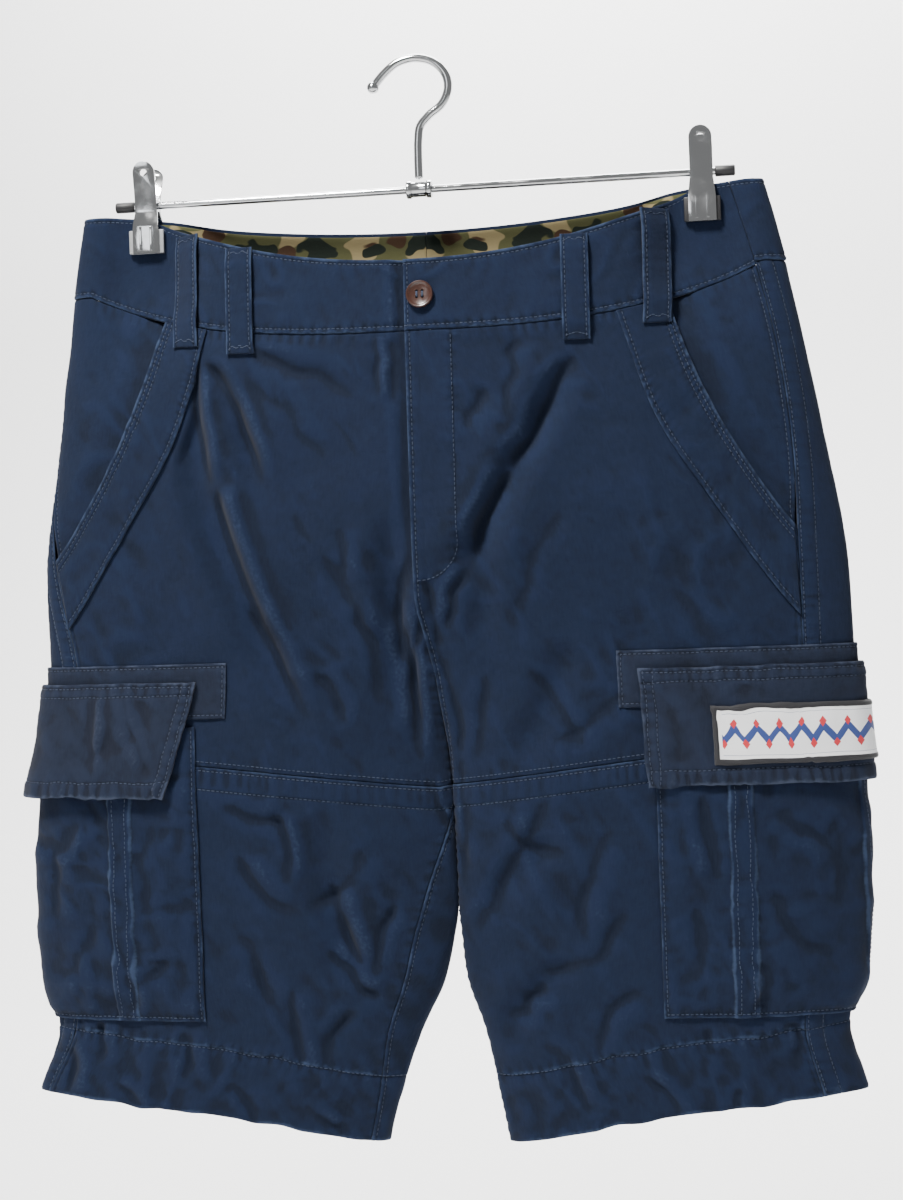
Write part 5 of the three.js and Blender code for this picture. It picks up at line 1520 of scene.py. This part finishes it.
def make_button():
    """The CAD button's form, finer: a rimmed disc with four holes, and its thread."""
    along = along_at(1, BUTTON_X, BUTTON_Z)
    centre, normal = skin(1, along, BUTTON_Z, False), outward(1, along, BUTTON_Z, False)
    turn = Vector((0, 0, 1)).rotation_difference(Vector(normal)).to_matrix().to_4x4()
    at = Matrix.Translation(Vector(centre + normal * (BAND_PROUD + GAP)) * MM) @ turn
    profile = [(0, 0), (7.6, 0), (8.6, 0.5), (9, 1.2), (9, 2.4), (8.7, 3.1), (8.2, 3.4), (7.7, 3.3),
               (7.1, 2.8), (6.4, 2.4), (0, 2.4)]
    angles = np.linspace(0, 2 * math.pi, 72, endpoint=False)
    rings = np.array([[(r * math.cos(a), r * math.sin(a), h) for a in angles] for r, h in profile])
    body = join_quads("button_smooth", [rings], BUTTON)
    for k in range(4):
        a = math.pi / 2 * (k + 0.5)
        bm = bmesh.new()
        place = Matrix.Translation((HOLE_AWAY * math.cos(a) * MM, HOLE_AWAY * math.sin(a) * MM, 0))
        bmesh.ops.create_cone(bm, cap_ends=True, segments=24, radius1=HOLE_RADIUS * MM,
                              radius2=HOLE_RADIUS * MM, depth=HOLE_DEPTH * MM, matrix=place)
        mesh = bpy.data.meshes.new("drill")
        bm.to_mesh(mesh)
        bm.free()
        drill = new_object("drill", mesh)
        cut = body.modifiers.new("hole", "BOOLEAN")
        cut.object, cut.operation, cut.solver = drill, "DIFFERENCE", "EXACT"
        mesh = with_modifiers(body)
        body.modifiers.clear()
        body.data = mesh
        bpy.data.objects.remove(drill)
    body.data.transform(at)
    shade_smooth(body.data)
    body.data.set_sharp_from_angle(angle=math.radians(35))
    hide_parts("button")
    bars = []
    for k in (-1, 1):
        for shift in (-0.35, 0.05, 0.45):
            t = np.linspace(-1, 1, 13)
            points = np.stack([k * 1.84 + shift + 0 * t, 2.1 * t, 2.75 - 1.3 * np.abs(t) ** 4], axis=1)
            radii = np.where(np.abs(t) > 0.99, 0, 0.24)
            world = np.array([at @ Vector(p * MM) for p in points]) / MM
            bars.append(tube(world, radii, 8))
    join_quads("button_thread", bars, THREAD)


def make_stitches(name, lines, pitch=3.1):
    """Rows of stitches, each a small spindle of thread laid along its line."""
    verts, edges = [], []
    for line in lines:
        if len(line) < 2:
            continue
        edges += [(len(verts) + k, len(verts) + k + 1) for k in range(len(line) - 1)]
        verts += [tuple(p * MM) for p in line]
    mesh = bpy.data.meshes.new(name)
    mesh.from_pydata(verts, edges, [])
    piece = new_object(name, mesh)
    rows = [(-1.1, 0.03), (-0.75, 0.28), (0.75, 0.28), (1.1, 0.03)]
    turn = np.linspace(0, 2 * math.pi, 4, endpoint=False)
    ring = np.array([[(r * math.cos(a), r * math.sin(a), h) for a in turn] for h, r in rows])
    ids = np.arange(16).reshape(4, 4)
    faces = ring_quads(ids).tolist()
    thread = bpy.data.meshes.new("stitch")
    faces += [ids[0, ::-1].tolist(), ids[3].tolist()]
    thread.from_pydata((ring.reshape(-1, 3) * MM).tolist(), [], faces)
    shade_smooth(thread)
    stitch = new_object("stitch", thread)

    tree = bpy.data.node_groups.new("stitching", "GeometryNodeTree")
    tree.interface.new_socket("Geometry", in_out="INPUT", socket_type="NodeSocketGeometry")
    tree.interface.new_socket("Geometry", in_out="OUTPUT", socket_type="NodeSocketGeometry")
    wanted = tree.interface.new_socket("Pitch", in_out="INPUT", socket_type="NodeSocketFloat")
    source = tree.interface.new_socket("Stitch", in_out="INPUT", socket_type="NodeSocketObject")
    finish = tree.interface.new_socket("Thread", in_out="INPUT", socket_type="NodeSocketMaterial")

    def node(kind, settings=None, **inputs):
        made = tree.nodes.new(kind)
        for key, value in (settings or {}).items():
            setattr(made, key, value)
        for key, value in inputs.items():
            target = socket(made.inputs, key.replace("_", " "))
            if isinstance(value, bpy.types.NodeSocket):
                tree.links.new(value, target)
            else:
                target.default_value = value
        return made

    given = node("NodeGroupInput")
    curve = node("GeometryNodeMeshToCurve", Mesh=given.outputs["Geometry"])
    even = node("GeometryNodeResampleCurve", {"mode": "LENGTH"}, Curve=curve.outputs[0],
                Length=given.outputs["Pitch"])
    tangent = node("GeometryNodeInputTangent")
    aligned = node("FunctionNodeAlignRotationToVector", {"axis": "Z"}, Vector=tangent.outputs[0])
    info = node("GeometryNodeObjectInfo", Object=given.outputs["Stitch"])
    size = node("FunctionNodeRandomValue", {"data_type": "FLOAT"}, Seed=7)
    socket(size.inputs, "Min_001").default_value = 0.85
    socket(size.inputs, "Max_001").default_value = 1.12
    placed = node("GeometryNodeInstanceOnPoints", Points=even.outputs[0], Instance=info.outputs["Geometry"],
                  Rotation=aligned.outputs[0], Scale=socket(size.outputs, "Value_001"))
    real = node("GeometryNodeRealizeInstances", Geometry=placed.outputs[0])
    painted = node("GeometryNodeSetMaterial", Geometry=real.outputs[0], Material=given.outputs["Thread"])
    node("NodeGroupOutput", Geometry=painted.outputs[0])
    modifier = piece.modifiers.new("stitching", "NODES")
    modifier.node_group = tree
    modifier[wanted.identifier] = pitch * MM
    modifier[source.identifier] = stitch
    modifier[finish.identifier] = THREAD
    done = with_modifiers(piece)
    piece.modifiers.clear()
    piece.data = done
    bpy.data.objects.remove(stitch)
    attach(piece, "root")


# Camera: where it looks, its distance, its turn to the garment's right, its roll and its lens
LOOK_AT = Vector((0.012, 0.0, -0.3595))
CAMERA_AWAY = 1.4
CAMERA_TURN = math.radians(8)
CAMERA_ROLL = math.radians(2)
CAMERA_LENS = 63


def make_camera():
    data = bpy.data.cameras.new("camera")
    data.lens = CAMERA_LENS
    data.sensor_width = 36
    camera = new_object("camera", data)
    back = Vector((math.sin(CAMERA_TURN), -math.cos(CAMERA_TURN), 0))
    turn = (-back).to_track_quat("-Z", "Y").to_matrix().to_4x4()
    place = Matrix.Translation(LOOK_AT + back * CAMERA_AWAY)
    camera.matrix_world = place @ turn @ Matrix.Rotation(-CAMERA_ROLL, 4, "Z")
    bpy.context.scene.camera = camera


def lamp(name, place, aim, size, power, colour):
    data = bpy.data.lights.new(name, "AREA")
    data.shape = "SQUARE"
    data.size = size
    data.energy = power
    data.color = colour
    light = new_object(name, data)
    light.location = place
    light.rotation_euler = (Vector(aim) - Vector(place)).to_track_quat("-Z", "Y").to_euler()


def make_stage():
    """A pale floor that sweeps up into a wall behind the garment."""
    mesh = bpy.data.meshes.new("backdrop")
    reach, bend, floor, wall = 5.0, 1.2, -1.0, 2.7
    arc = [(wall - bend + bend * math.sin(a), floor + bend - bend * math.cos(a))
           for a in np.linspace(0, math.pi / 2, 17)]
    path = [(-4.0, floor), *arc, (wall, 4.0)]
    verts = [(x, y, z) for x in (-reach, reach) for y, z in path]
    count = len(path)
    faces = [(i, i + 1, count + i + 1, count + i) for i in range(count - 1)]
    mesh.from_pydata(verts, [], faces)
    shade_smooth(mesh)
    backdrop = new_object("backdrop", mesh)
    material = bpy.data.materials.new("backdrop")
    material.use_nodes = True
    shader = material.node_tree.nodes["Principled BSDF"]
    shader.inputs["Base Color"].default_value = (0.86, 0.86, 0.86, 1)
    shader.inputs["Roughness"].default_value = 0.9
    mesh.materials.append(material)


def make_light():
    world = bpy.data.worlds.new("studio")
    world.use_nodes = True
    shade = world.node_tree.nodes["Background"]
    shade.inputs["Color"].default_value = (1, 1, 1, 1)
    shade.inputs["Strength"].default_value = 0.3
    bpy.context.scene.world = world
    lamp("key", (-0.5, -0.95, 1.25), (0, 0, -0.4), 0.4, 92, (1, 0.98, 0.95))
    lamp("fill", (-1.05, -2.6, 0.45), (0, 0, -0.3), 0.9, 7, (0.95, 0.97, 1))
    lamp("rear", (0.7, 1.5, 1.1), (0, 0, -0.4), 0.5, 8, (1, 0.98, 0.95))
    lamp("wall", (0, 1.6, 2.2), (0, 2.7, -0.3), 1.8, 330, (1, 1, 1))


for name, side in SIDES.items():
    for make in (make_waist, make_facing, make_upper_front, make_lower_front, make_back, make_hip, make_trim,
                 make_pocket, make_flap_band, make_flap):
        make(name, side)
make_patch()
for loop in LOOPS:
    make_loop(*loop)
make_hanger()
make_button()
make_stitches("stitches", stitches)
make_camera()
make_stage()
make_light()
